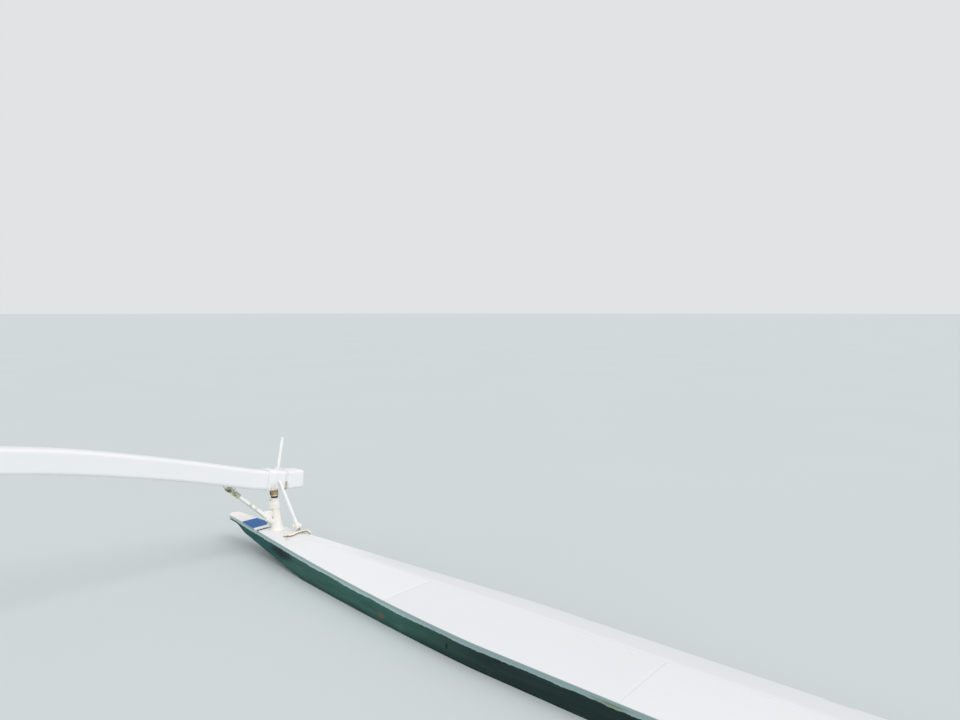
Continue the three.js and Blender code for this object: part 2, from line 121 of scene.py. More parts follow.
# Middle line of a boom, outboard end first: (outboard, height)
BOOM_LINE = (
    (0.168, 0.3835),
    (0.110, 0.390),
    (0.000, 0.404),
    (-0.110, 0.426),
    (-0.240, 0.4635),
    (-0.460, 0.5285),
    (-0.720, 0.598),
    (-0.980, 0.6605),
    (-1.220, 0.706),
    (-1.480, 0.7425),
    (-1.690, 0.759),
    (-1.760, 0.760),
    (BOOM_INNER_END, 0.760),
)

# Post under a boom: its axis leans inboard, and its profile is given as (radius, height)
POST_OUT = 0.008
POST_LEAN = 0.08
POST_LEAN_FROM = 0.305
POST_NECK = 0.0158
POST_PROFILE = (
    (0.040, 0.127),
    (0.0355, 0.132),
    (0.030, 0.145),
    (0.0255, 0.170),
    (0.0228, 0.200),
    (0.0203, 0.243),
    (0.0176, 0.290),
    (POST_NECK, 0.303),
)
TAPE_BOTTOM = 0.305
TAPE_HEIGHT = 0.011
BINDING_BOTTOM = 0.247
BINDING_TOP = 0.297
# The binding's thin first layer, as a share of its rope, and then (shift inboard, added radius,
# drop at the top) of the thicker layers
BINDING_THIN = 0.6
BINDING_LAYERS = ((0.0040, -0.0002, 0.0), (0.0080, 0.0016, 0.0022))

# Lashings round a boom: (middle, width) outboard, and where the outer one goes round the back peg
INNER_BAND = (-0.032, 0.052)
OUTER_BAND = (0.054, 0.018)
PEG_SLEEVE = (0.252, 0.280)
# Turns that ride over the boom's top beside the peg, from one place outboard to the other
RIDING_TURNS = 7.2
RIDING_SPAN = (0.033, 0.074)
RIDING_AWAY = 0.036

# Brace and pegs: ends as (outboard, height)
BRACE_FOOT = (-0.002, 0.173)
BRACE_HEAD = (-0.288, 0.433)
BRACE_RADII = (0.012, 0.0095)
BRACE_WRAP = 0.122
PEG_RADIUS = 0.0085
PEG_FACE = BOOM_WIDTH / 2 + PEG_RADIUS + GAP
BACK_PEG = ((0.007, 0.124), (0.102, 0.609))
FRONT_PEG = ((0.086, 0.124), (0.004, 0.406))
FRONT_PEG_SPREAD = 0.053
# Knot at a peg's foot, as distances along the peg
PEG_KNOT = (0.0195, 0.0505)
PEG_KNOT_LOBES = 0.037

# Knot at a brace's foot: the turns round the brace, as distances along it
FOOT_KNOT = (0.0375, 0.0590)
# Its bight, by the middle as (outboard, height)
BIGHT = (-0.0355, 0.2035)
BIGHT_RADIUS = 0.0086
# Its turns in the corner between the brace and the post, with more of them to close the top
CORNER_TURNS = 4.5
CLOSING_TURNS = 1.9
CORNER_HEIGHTS = (0.2115, 0.2365)
CORNER_MIDDLE = -0.0335
CORNER_HALF = (0.0118, 0.0255)

# Rope at a brace's head, as distances back along it from the boom
WRAP_STOP = 0.028
SECOND_LAYER = (0.060, 0.034)
# Its end, coiled between two places: (towards midships, outboard, height)
HEAD_KNOT = ((0.012, -0.2300, 0.3925), (0.012, -0.2170, 0.3950))
HEAD_KNOT_ROPE = 0.0030

# Rope over the nose deck: (towards midships, outboard, above the deck)
HOLE = (0.131, -0.014)
HOLE_RADIUS = 0.0115
# Side of the square cell of the deck's faces that the hole is bored in
HOLE_CELL = 0.034
DECK_ROPE_ROUTE = (
    (0.131, -0.016, -0.010),
    (0.132, -0.014, 0.000),
    (0.137, -0.011, 0.006),
    (0.145, -0.005, 0.0075),
    (0.151, 0.006, 0.007),
    (0.147, 0.022, 0.0065),
    (0.141, 0.038, 0.0065),
    (0.137, 0.058, 0.0065),
    (0.140, 0.071, 0.007),
    (0.147, 0.082, 0.009),
    (0.160, 0.090, 0.012),
    (0.178, 0.095, 0.013),
)
ROPE_OVER_EDGE = 0.009
ROPE_TAIL = 0.044
TWINE = 0.0009

# Camera, by its fit to the horizon and to the float's edges
CAMERA_SPOT = (0.466, -2.066)
CAMERA_PITCH = math.radians(4.045)
CAMERA_HEADING = math.radians(49.36)


def clamp01(value):
    return min(1.0, max(0.0, value))


def lerp(low, high, share):
    return low + (high - low) * share


def srgb(red, green, blue):
    """A colour as read off a screen, 0 to 255, as the linear colour that a shader takes."""
    linear = []
    for channel in (red, green, blue):
        value = channel / 255
        linear.append(value / 12.92 if value <= 0.04045 else ((value + 0.055) / 1.055) ** 2.4)
    return tuple(linear)


# Settings

def length(name, description, default, low=0.0, high=1.0):
    return bpy.props.FloatProperty(
        name=name, description=description, default=default, min=low, max=high,
        unit="LENGTH", subtype="DISTANCE", precision=4,
    )


def colour(name, description, default):
    return bpy.props.FloatVectorProperty(
        name=name, description=description, default=srgb(*default), size=3, min=0.0, max=1.0,
        subtype="COLOR",
    )


class OutriggerSizes(bpy.types.PropertyGroup):
    """Sizes that finish the outrigger's pieces."""

    deck_round: length("Deck edge round", "Rounding along the edges of the deck's boards", 0.0018)
    chine_round: length("Chine round", "Rounding along the float's lower edges", 0.004)
    boom_round: length("Boom edge round", "Rounding along a boom's four long edges", 0.016)
    boom_end_round: length("Boom end round", "Rounding at a boom's two ends", 0.017)
    strip_depth: length("White strip", "Depth of the white strip under the deck's edge", 0.024)
    band_rope: length("Band rope", "Diameter of the rope round the booms", 0.0052)
    lashing_rope: length("Lashing rope", "Diameter of the rope on posts, braces and pegs", 0.0066)
    deck_rope: length("Deck rope", "Diameter of the rope over the nose deck", 0.0145)
    tape_thickness: length("Tape", "Thickness of the wound tape", 0.002)


class OutriggerColours(bpy.types.PropertyGroup):
    """Colours of the outrigger's paints and ropes."""

    enamel: colour("White enamel", "Deck and booms", (240, 240, 241))
    post: colour("Post enamel", "Posts", (250, 247, 241))
    stick: colour("Stick enamel", "Braces and pegs", (247, 248, 246))
    yellowed: colour("Yellowed enamel", "Old paint near the lashings", (240, 230, 202))
    bottom: colour("Bottom paint", "Sides and bottom of the float", (36, 57, 56))
    bottom_light: colour("Faded bottom paint", "Bottom paint towards the ends", (56, 100, 91))
    # The strip is white paint; this grey-green is painted shade with a painted reflection of the water
    strip: colour("Strip paint", "Grey-white strip under the deck's edge", (170, 198, 198))
    band: colour("Nose band", "Painted band over the nose deck", (30, 104, 173))
    pinstripe: colour("Pinstripe", "Thin line beside the nose band", (48, 54, 94))
    rope: colour("Rope", "Bare rope", (186, 166, 122))
    rope_dark: colour("Old rope", "Weathered parts of the bare rope", (104, 96, 64))
    painted_rope: colour("Painted rope", "Rope under white paint", (252, 251, 246))
    # Grime, and painted shade, in the hollows between strands and turns
    rope_hollow: colour("Rope hollows", "Grime between the turns of rope", (222, 214, 192))
    tape: colour("Tape", "Wound tape", (24, 23, 22))


class OutriggerStage(bpy.types.PropertyGroup):
    """Camera, floor and light."""

    eye_height: length("Eye height", "Camera above the water", 1.30, 0.1, 10.0)
    focal: bpy.props.FloatProperty(
        name="Lens", description="Focal length", default=26.25, min=5, max=200,
        unit="CAMERA",
    )
    floor: colour("Floor", "Plain floor at the waterline", (206, 214, 214))
    sky: colour("Surround", "Soft light from all round", (244, 245, 247))
    surround: bpy.props.FloatProperty(
        name="Surround strength", description="Strength of the light from all round",
        default=0.84, min=0, max=5,
    )
    key: bpy.props.FloatProperty(
        name="Key strength", description="Strength of the main lamp", default=0.8, min=0, max=20,
    )
    fill: bpy.props.FloatProperty(
        name="Fill strength", description="Strength of the light off the water near the camera",
        default=0.5, min=0, max=20,
    )


def sizes():
    return bpy.context.scene.outrigger_sizes


def colours():
    return bpy.context.scene.outrigger_colours


# Shape of the float

def half_beam(reach):
    inward = clamp01(1 - reach / TAPER_REACH)
    width = lerp(TIP_HALF_BEAM, HALF_BEAM, 1 - inward ** TAPER_POWER)
    width += BLUNTNESS * clamp01(1 - reach / BLUNT_REACH) ** BLUNT_POWER
    tip = clamp01(1 - reach / TIP_ROUND)
    return width * lerp(TIP_END_SHARE, 1, math.sqrt(1 - tip * tip))


def deck_height(reach):
    return FREEBOARD + SHEER_RISE * clamp01(1 - reach / SHEER_REACH) ** 2


def chine_height(reach):
    raked = max(-CHINE_DEPTH, TIP_UNDERSIDE - RAKE * reach)
    share = clamp01((reach - STEM_THIN_REACH) / (STEM_FULL_REACH - STEM_THIN_REACH))
    return lerp(deck_height(reach) - STEM_DEPTH, raked, share * share * (3 - 2 * share))


def keel_height(reach):
    return chine_height(reach) - KEEL_DROP * half_beam(reach) / HALF_BEAM


def bevel_start(reach):
    return half_beam(reach) * BEVEL_SHARE


def bevel_drop(reach):
    share = clamp01((reach - BEVEL_START_REACH) / (BEVEL_FULL_REACH - BEVEL_START_REACH))
    return BEVEL_DROP * half_beam(reach) / HALF_BEAM * share


def deck_under(point):
    """Height of the deck's line at a point's place along the float."""
    return deck_height(HALF_LENGTH - abs(point.x))


def places_between(start, stop):
    """Section places along X, close together near the tips."""
    reaches = list(TIP_REACHES)
    while reaches[-1] + STATION_STEP < HALF_LENGTH:
        reaches.append(reaches[-1] + STATION_STEP)
    stations = sorted({r - HALF_LENGTH for r in reaches} | {HALF_LENGTH - r for r in reaches})
    first, last = start + STATION_CLEARANCE, stop - STATION_CLEARANCE
    return [start, *(x for x in stations if first < x < last), stop]


# Shape of a boom

def smooth_course(points, steps):
    """A smooth line through the points, with a number of steps from each to the next."""
    course = []
    count = len(points)
    for i in range(count - 1):
        before = points[max(i - 1, 0)]
        here = points[i]
        there = points[i + 1]
        after = points[min(i + 2, count - 1)]
        lead = here + (there - before) / 6
        trail = there - (after - here) / 6
        course += interpolate_bezier(here, lead, trail, there, steps + 1)[:-1]
    course.append(points[-1])
    return course


BOOM_COURSE = smooth_course([Vector((0, y, z)) for y, z in BOOM_LINE], 40)


def boom_at(outboard):
    """Point of the boom's middle line at an outboard distance, and the way outboard along it."""
    for near, far in zip(BOOM_COURSE, BOOM_COURSE[1:]):
        if far.y <= outboard:
            break
    share = (outboard - far.y) / (near.y - far.y)
    return far.lerp(near, share), (near - far).normalized()


def boom_depth(outboard):
    start, stop = BOOM_DEEPENS
    return lerp(BOOM_DEPTH, BOOM_ROOT_DEPTH, clamp01((start - outboard) / (start - stop)))


def boom_underside(outboard):
    point, along = boom_at(outboard)
    return point.z - boom_depth(outboard) / 2 / along.y


def boom_top(outboard):
    point, along = boom_at(outboard)
    return point.z + boom_depth(outboard) / 2 / along.y


# Places at one end of the float

class End:
    """Measures from a boom's middle plane, with "towards" counted towards midships."""

    def __init__(self, name, side):
        self.name = name
        self.side = side
        self.boom_x = side * (HALF_LENGTH - BOOM_REACH)

    def place(self, towards, outboard, height):
        return Vector((self.boom_x - self.side * towards, outboard, height))

    def deck_at(self, towards):
        return deck_height(BOOM_REACH + towards)


ENDS = (End("aft", -1), End("fore", 1))


def post_axis(end, height):
    return Vector((end.boom_x, POST_OUT + POST_LEAN * (POST_LEAN_FROM - height), height))


def post_radius(height):
    for (low_radius, low), (high_radius, high) in zip(POST_PROFILE, POST_PROFILE[1:]):
        if height <= high:
            return lerp(low_radius, high_radius, clamp01((height - low) / (high - low)))
    return POST_NECK


# Mesh building

def loft(mesh, rings):
    """Draws the first ring of points, extrudes it through the next ones and caps both ends."""
    ring = [mesh.verts.new(point) for point in rings[0]]
    loop = [mesh.edges.new(pair) for pair in zip(ring, ring[1:] + ring[:1])]
    made = [ring]
    for points in rings[1:]:
        grown = bmesh.ops.extrude_edge_only(mesh, edges=loop)["geom"]
        fresh = {item for item in grown if isinstance(item, bmesh.types.BMVert)}
        ring = [
            next(edge.other_vert(vert) for edge in vert.link_edges if edge.other_vert(vert) in fresh)
            for vert in ring
        ]
        for vert, point in zip(ring, points):
            vert.co = point
        loop = [mesh.edges.get(pair) for pair in zip(ring, ring[1:] + ring[:1])]
        made.append(ring)
    mesh.faces.new(made[0][::-1])
    mesh.faces.new(ring)
    return made


def round_edges(mesh, edges, offset):
    bmesh.ops.bevel(
        mesh, geom=edges, offset=offset, offset_type="OFFSET", segments=3, profile=0.5,
        affect="EDGES", clamp_overlap=True, material=-1,
    )


def sharp_edges(mesh, degrees, wanted):
    """Edges that turn by more than an angle and pass a test, clear of the nose decks' seams."""
    bmesh.ops.recalc_face_normals(mesh, faces=mesh.faces)
    found = []
    for edge in mesh.edges:
        if edge.is_manifold and edge.calc_face_angle() > math.radians(degrees):
            middle = (edge.verts[0].co + edge.verts[1].co) / 2
            if abs(abs(middle.x) - NOSE_X) > SEAM_CLEARANCE and wanted(middle):
                found.append(edge)
    return found


def finish_piece(name, mesh, material, node, sharp=40):
    """Makes the object, which rides on the one body and stands for its CAD solid."""
    bmesh.ops.recalc_face_normals(mesh, faces=mesh.faces)
    data = bpy.data.meshes.new(name)
    mesh.to_mesh(data)
    mesh.free()
    data.shade_smooth()
    data.set_sharp_from_angle(angle=math.radians(sharp))
    data.materials.append(material)
    piece = bpy.data.objects.new(name, data)
    bpy.context.collection.objects.link(piece)
    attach(piece, WHOLE)
    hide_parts(node)


def finish_rope(name, mesh, finish, node):
    """Finishes a piece of rope, with its strands shaded soft and only its ends sharp."""
    finish_piece(name, mesh, finish_named(finish), node, sharp=ROPE_SHARP)


def float_piece(start, stop, section):
    """Part of the float between two places, from its section at each."""
    mesh = bmesh.new()
    rings = []
    for x in places_between(start, stop):
        rings.append([Vector((x, y, z)) for y, z in section(HALF_LENGTH - abs(x))])
    loft(mesh, rings)
    return mesh


def circle(count, turn=0.0):
    """Points evenly round a circle of radius 1."""
    angles = [turn + TAU * k / count for k in range(count)]
    return [(math.cos(angle), math.sin(angle)) for angle in angles]


def square_to(direction, hint):
    """Two directions square to a given one and to each other, the first near the hint."""
    first = (hint - direction * hint.dot(direction)).normalized()
    return first, direction.cross(first)


def tapered_pole(start, stop, radii, wander, sides, steps, end_round):
    """A hand-shaved round pole: its surface wanders a little, and its ends are eased."""
    mesh = bmesh.new()
    axis = stop - start
    way = axis.normalized()
    side, across = square_to(way, Vector((1, 0, 0)))
    ease = radii[1] * end_round / axis.length
    shares = [0, ease * 0.4, ease] + [lerp(ease, 1 - ease, k / steps) for k in range(1, steps)]
    shares += [1 - ease, 1 - ease * 0.4, 1]
    rings = []
    for share in shares:
        middle = start + axis * share
        radius = lerp(radii[0], radii[1], share)
        from_end = min(share, 1 - share) / ease
        if from_end < 1:
            radius *= 1 - end_round * (1 - math.sqrt(1 - (1 - from_end) ** 2))
        ring = []
        for u, v in circle(sides):
            spot = middle + (side * u + across * v) * radius
            bump = wander * noise.noise(spot * 34) + wander * 0.5 * noise.noise(spot * 90)
            ring.append(spot + (side * u + across * v) * bump)
        rings.append(ring)
    loft(mesh, rings)
    return mesh


# Rope

ROPE_SHARP = 75
ROPE_STEP = 0.0021
ROPE_SIDES = 12
# Three strands share a rope's sides, four each: a crown, a flank, a hollow and a flank
STRAND = (1.0, 0.0, -1.0, 0.0)
# A rope's end is drawn in to this share of its radius
ROPE_END_SHARE = 0.6


def add_rope(mesh, course, radius, groove, lay_length=4.0):
    """A laid rope of three strands along a course of (point, way out from what it is wound on).

    Its attributes give each vertex's place on the rope, and how far out that faces.
    """
    lay = mesh.verts.layers.float_vector.get("lay") or mesh.verts.layers.float_vector.new("lay")
    exposed = mesh.verts.layers.float.get("exposed") or mesh.verts.layers.float.new("exposed")
    points = [point for point, _ in course]
    count = len(points)
    tangents = []
    for i in range(count):
        tangents.append((points[min(i + 1, count - 1)] - points[max(i - 1, 0)]).normalized())
    side, _ = square_to(tangents[0], tangents[0].orthogonal())
    travelled = 0.0
    rings = []
    marks = []
    for i in range(count):
        if i:
            travelled += (points[i] - points[i - 1]).length
            side = tangents[i - 1].rotation_difference(tangents[i]) @ side
            side, _ = square_to(tangents[i], side)
        across = tangents[i].cross(side)
        size = radius * ROPE_END_SHARE if i in (0, count - 1) else radius
        twist = TAU * travelled / (lay_length * 2 * radius)
        ring = []
        ring_marks = []
        for k, (u, v) in enumerate(circle(ROPE_SIDES, twist)):
            out = side * u + across * v
            strand = 1 - groove * (0.5 - 0.5 * STRAND[k % len(STRAND)])
            ring.append(points[i] + out * size * strand)
            angle = TAU * k / ROPE_SIDES
            facing = out.dot(course[i][1]) + 0.5 * (strand - 1) / max(groove, 0.01)
            ring_marks.append((Vector((math.cos(angle), math.sin(angle), travelled)), facing))
        rings.append(ring)
        marks.append(ring_marks)
    for ring, ring_marks in zip(loft(mesh, rings), marks):
        for vert, (where, facing) in zip(ring, ring_marks):
            vert[lay] = where
            vert[exposed] = facing


def coil(start, stop, inner, rope, turns, first=0.0, lumps=0.0005, seed=0.0):
    """Course of a rope wound from start to stop round a rod; inner is the rod's radius at each end."""
    axis = stop - start
    way = axis.normalized()
    side, across = square_to(way, Vector((1, 0, 0)))
    around = TAU * abs(turns) * (sum(inner) / 2 + rope)
    count = max(16, round(around / ROPE_STEP))
    course = []
    for i in range(count + 1):
        share = i / count
        angle = first + TAU * turns * share
        out = side * math.cos(angle) + across * math.sin(angle)
        uneven = lumps * noise.noise(Vector((angle * 0.7, seed, 3.1)))
        radius = lerp(inner[0], inner[1], share) + rope + uneven
        slip = way * lumps * 0.8 * noise.noise(Vector((angle * 0.45, seed, 9.7)))
        course.append((start + axis * share + out * radius + slip, out))
    return course


def spread_course(points, middle, step=ROPE_STEP):
    """A smooth course through points, evenly stepped, that faces away from a middle."""
    dense = smooth_course(points, 24)
    course = [dense[0]]
    for point in dense[1:]:
        gone = (point - course[-1]).length
        while gone > step:
            course.append(course[-1].lerp(point, step / gone))
            gone = (point - course[-1]).length
    return [(point, (point - middle).normalized()) for point in course]


def overhand(middle, out, size, depth, turn=0.0):
    """Course of a small overhand knot that lies with its flat side on what it sits on."""
    side, across = square_to(out, out.orthogonal())
    points = []
    steps = 36
    for i in range(steps + 1):
        angle = turn + TAU * i / steps
        u = (math.sin(angle) + 2 * math.sin(2 * angle)) / 3
        v = (math.cos(angle) - 2 * math.cos(2 * angle)) / 3
        w = -math.sin(3 * angle)
        points.append(middle + (side * u + across * v) * size + out * w * depth)
    return [(point, out) for point, _ in spread_course(points, middle)]


# Materials

class Finish:
    """One procedural material, laid out on Object coordinates, which are metres in the part's frame."""

    def __init__(self, name, roughness=0.5, **settings):
        self.material = bpy.data.materials.new(f"{name}_finish")
        self.material.use_nodes = True
        self.tree = self.material.node_tree
        self.shader = self.tree.nodes["Principled BSDF"]
        self.shader.inputs["Roughness"].default_value = roughness
        for socket, value in settings.items():
            self.shader.inputs[socket.replace("_", " ")].default_value = value
        self.here = self.node("ShaderNodeTexCoord").outputs["Object"]
        self.x, self.y, self.z = self.node("ShaderNodeSeparateXYZ", Vector=self.here).outputs
        # Both ends carry the same marks, so marks are placed with the float folded at midships
        self.along = self.math("ABSOLUTE", self.x)
        folded = self.node("ShaderNodeCombineXYZ", X=self.along, Y=self.y, Z=self.z)
        self.folded = folded.outputs[0]

    def node(self, kind, settings=None, **inputs):
        node = self.tree.nodes.new(kind)
        for key, value in (settings or {}).items():
            setattr(node, key, value)
        for key, value in inputs.items():
            self.feed(node.inputs[key.replace("_", " ")], value)
        return node

    def feed(self, socket, value):
        if isinstance(value, bpy.types.NodeSocket):
            self.tree.links.new(value, socket)
        elif socket.type == "RGBA" and len(value) == 3:
            socket.default_value = (*value, 1)
        else:
            socket.default_value = value

    def math(self, operation, first, second=0.0, third=0.0):
        node = self.node("ShaderNodeMath", {"operation": operation})
        for socket, value in zip(node.inputs, (first, second, third)):
            self.feed(socket, value)
        return node.outputs[0]

    def ease(self, value, low, high, to_low=0.0, to_high=1.0):
        """A smooth step of a value from one level to another."""
        node = self.node("ShaderNodeMapRange", {"interpolation_type": "SMOOTHSTEP"})
        for socket, number in zip(node.inputs, (value, low, high, to_low, to_high)):
            self.feed(socket, number)
        return node.outputs[0]

    def stretched(self, scale, where=None):
        return self.node(
            "ShaderNodeMapping", {"vector_type": "POINT"}, Vector=where or self.here, Scale=scale,
        ).outputs[0]

    def noise(self, scale, detail, roughness=0.5, where=None):
        node = self.node(
            "ShaderNodeTexNoise", Vector=self.stretched(scale, where), Scale=1.0, Detail=detail,
            Roughness=roughness,
        )
        return node.outputs["Fac"]

    def mix(self, factor, first, second, blend="MIX"):
        node = self.node("ShaderNodeMix", {"data_type": "RGBA", "blend_type": blend})
        self.feed(node.inputs[0], factor)
        self.feed(node.inputs[6], first)
        self.feed(node.inputs[7], second)
        return node.outputs[2]

    def blend(self, base, tint, value, low, high, most=1.0):
        """Lays a tint over a base: none of it at a value's low level, and most at its high one."""
        return self.mix(self.ease(value, low, high, 0.0, most), base, tint)

    def near(self, value, level, reach, core):
        """A mask that is 1 within a core distance of a level, and fades to 0 at its reach."""
        return self.ease(self.math("ABSOLUTE", self.math("SUBTRACT", value, level)), reach, core)

    def spot(self, middle, spread, soft):
        """A mask that is 1 at a place and fades to 0 at its spread along each axis.

        The place is a reach, a distance outboard and a height, so it shows at both ends.
        """
        reach, outboard, height = middle
        scale = [1 / value for value in spread]
        place = (HALF_LENGTH - reach, outboard, height)
        shift = [-value * factor for value, factor in zip(place, scale)]
        moved = self.node(
            "ShaderNodeMapping", {"vector_type": "POINT"}, Vector=self.folded, Scale=scale,
            Location=shift,
        ).outputs[0]
        far = self.node("ShaderNodeVectorMath", {"operation": "LENGTH"}, Vector=moved)
        return self.ease(far.outputs["Value"], 1.0, 1.0 - soft)

    def all_of(self, *masks):
        whole = masks[0]
        for mask in masks[1:]:
            whole = self.math("MULTIPLY", whole, mask)
        return whole

    def bump(self, height, strength, distance, below=None):
        node = self.node(
            "ShaderNodeBump", Height=height, Strength=strength, Distance=distance,
        )
        if below is not None:
            self.feed(node.inputs["Normal"], below)
        return node.outputs[0]

    def done(self, base, roughness=None, normal=None):
        self.feed(self.shader.inputs["Base Color"], base)
        if roughness is not None:
            self.feed(self.shader.inputs["Roughness"], roughness)
        if normal is not None:
            self.feed(self.shader.inputs["Normal"], normal)
        return self.material

    # Measures of the float

    def reach(self):
        return self.math("SUBTRACT", HALF_LENGTH, self.along)

    def below_sheer(self):
        """How far below the deck's line a point is."""
        inward = self.math("SUBTRACT", 1.0, self.math("DIVIDE", self.reach(), SHEER_REACH))
        inward = self.math("MAXIMUM", inward, 0.0)
        rise = self.math("MULTIPLY", self.math("POWER", inward, 2.0), SHEER_RISE)
        return self.math("SUBTRACT", self.math("ADD", rise, FREEBOARD), self.z)

    def share_of_beam(self, reach):
        """How far out a point is, with 1 at the float's outboard edge and -1 at its inboard one."""
        inward = self.math("SUBTRACT", 1.0, self.math("DIVIDE", reach, TAPER_REACH))
        inward = self.math("POWER", self.math("MAXIMUM", inward, 0.0), TAPER_POWER)
        width = self.math("MULTIPLY_ADD", inward, TIP_HALF_BEAM - HALF_BEAM, HALF_BEAM)
        blunt = self.math("SUBTRACT", 1.0, self.math("DIVIDE", reach, BLUNT_REACH))
        blunt = self.math("POWER", self.math("MAXIMUM", blunt, 0.0), BLUNT_POWER)
        width = self.math("MULTIPLY_ADD", blunt, BLUNTNESS, width)
        return self.math("DIVIDE", self.y, width)


def shade(tone, share):
    """A colour made lighter or darker by a share."""
    return tuple(min(1.0, channel * share) for channel in tone)


def panel_seams():
    """Places along X where deck panels meet, with the nose decks' edges first and last."""
    count = round((HALF_LENGTH - END_PANEL_REACH) * 2 / PANEL_LENGTH)
    middle = [END_PANEL_REACH - HALF_LENGTH + i * PANEL_LENGTH for i in range(count + 1)]
    return [-NOSE_X, *middle, NOSE_X]


# Painted stripes over the nose deck, as reaches
NOSE_BAND = (0.175, 0.312)
PINSTRIPE = (0.3475, 0.3655)
# Stains on a nose deck and a painted shadow at the front peg's foot: (reach, outboard), spread, colour,
# strength
NOSE_STAINS_AND_SHADOW = (
    ((0.572, -0.034), (0.05, 0.026, 0.05), (206, 184, 148), 0.7),
    ((0.522, 0.078), (0.020, 0.015, 0.05), (104, 82, 64), 0.85),
    ((0.47, 0.03), (0.13, 0.075, 0.05), (236, 226, 206), 0.5),
    ((0.72, 0.048), (0.10, 0.024, 0.05), (236, 222, 236), 0.7),
)
# Painted shadow below the boom (first) and knocks and scratches on the inboard side: (reach, height),
# spread, colour, level of grain
SIDE_MARKS_AND_SHADOW = (
    ((0.62, 0.078), (0.16, 0.04, 0.034), (14, 44, 48), 0.1),
    ((1.475, 0.034), (0.034, 0.03, 0.018), (112, 88, 74), 0.34),
    ((1.878, 0.040), (0.008, 0.03, 0.015), (10, 14, 13), 0.2),
    ((2.144, 0.070), (0.030, 0.03, 0.006), (16, 20, 19), 0.35),
)
# Olive stain on the strip: (reach, height), and its spread
STRIP_STAIN = (2.58, 0.086)
STRIP_STAIN_SPREAD = (0.10, 0.03, 0.018)
# Depth of the strip at the stem, as a share of its full depth
STEM_STRIP_SHARE = 0.82
# Worn places on a brace: (outboard, height), colour
BRACE_MARKS = (
    ((-0.137, 0.296), (204, 196, 168)),
    ((-0.108, 0.270), (214, 203, 203)),
)
# Dark, buff and clean places on the rope at a brace's head: (outboard, height), spread, colour,
# strength, softness
HEAD_ROPE_MARKS = (
    ((-0.2590, 0.3950), (0.05, 0.022, 0.014), (84, 92, 64), 0.85, 0.7),
    ((-0.2400, 0.4020), (0.05, 0.016, 0.012), (222, 222, 196), 0.8, 0.6),
    ((-0.2235, 0.3945), (0.05, 0.013, 0.0125), (250, 251, 246), 1.0, 0.2),
)
# White of each deck panel, of the nose decks and of the outboard board, as shares of the enamel's
PANEL_TONES = (1.0, 0.965, 0.98, 0.97, 0.995)
NOSE_TONE = 0.99
BOARD_TONE = 0.985
# The board's sloping part faces away from the light and is greyer and cooler
BOARD_GREY = (0.88, 0.895, 0.91)


def shaded_strip_paint(f):
    """The strip under the deck's edge in painted shade and a painted reflection of the water, darker in
    its upper part and duller towards midships.
    """
    strip = tuple(colours().strip)
    dark = shade(strip, 0.72)
    base = f.blend(strip, shade(strip, 0.88), f.noise((2.6, 40, 40), 5, 0.62), 0.4, 0.75, 0.5)
    base = f.blend(f.mix(0.1, base, (1, 1, 1)), dark, f.below_sheer(), 0.018, 0.010, 0.6)
    return f.blend(base, dark, f.reach(), 1.3, 2.1, 0.75)


def hole_mask(f, radius, soft):
    """A mask round the rope's hole in each nose deck."""
    reach = BOOM_REACH + HOLE[0]
    return f.spot((reach, HOLE[1], deck_height(reach)), (radius, radius, 0.1), soft)


def nose_paint(f, base, reach):
    """Adds a nose deck's warmer white and painted light near the tip, its painted stripes, stains and
    painted shade.
    """
    paint = colours()
    # The tip is painted a brighter, warmer white: painted light that lifts the boom's shadow, with a
    # warmer tint
    top = f.ease(f.below_sheer(), 0.004, 0.002, 0.35, 1.0)
    base = f.mix(f.all_of(f.ease(reach, 0.36, 0.10), top, 0.85), base, srgb(252, 247, 243))
    inked = f.ease(f.noise((70, 70, 70), 3, 0.6), 0.25, 0.5, 0.94, 1.0)
    wavy = f.math("ADD", reach, f.ease(f.noise((1, 24, 24), 2), 0, 1, -0.0018, 0.0018))
    # The white stripe is brighter than the enamel: partly its own white, partly painted light in the
    # boom's shadow
    stripes = (
        ((NOSE_BAND[1], PINSTRIPE[0]), srgb(253, 254, 255)),
        (NOSE_BAND, tuple(paint.band)),
        (PINSTRIPE, tuple(paint.pinstripe)),
    )
    edge = 0.0016
    for (low, high), tint in stripes:
        stripe = f.all_of(f.ease(wavy, low, low + edge), f.ease(wavy, high, high - edge))
        base = f.mix(f.all_of(stripe, top, inked), base, tint)
    dirt = f.noise((38, 38, 38), 5, 0.65)
    # Stains, and a painted shadow at the front peg's foot
    for (place, outboard), spread, tint, strength in NOSE_STAINS_AND_SHADOW:
        stain = f.spot((place, outboard, deck_height(place)), spread, 0.8)
        base = f.mix(f.all_of(stain, f.ease(dirt, 0.36, 0.66), strength), base, srgb(*tint))
    # A dark ring round the rope's hole: dirt, and painted shade of the hole
    bored = f.all_of(hole_mask(f, HOLE_RADIUS + 0.0035, 0.3), f.ease(dirt, 0.3, 0.5, 0.6, 0.95))
    return f.mix(bored, base, srgb(96, 82, 60))


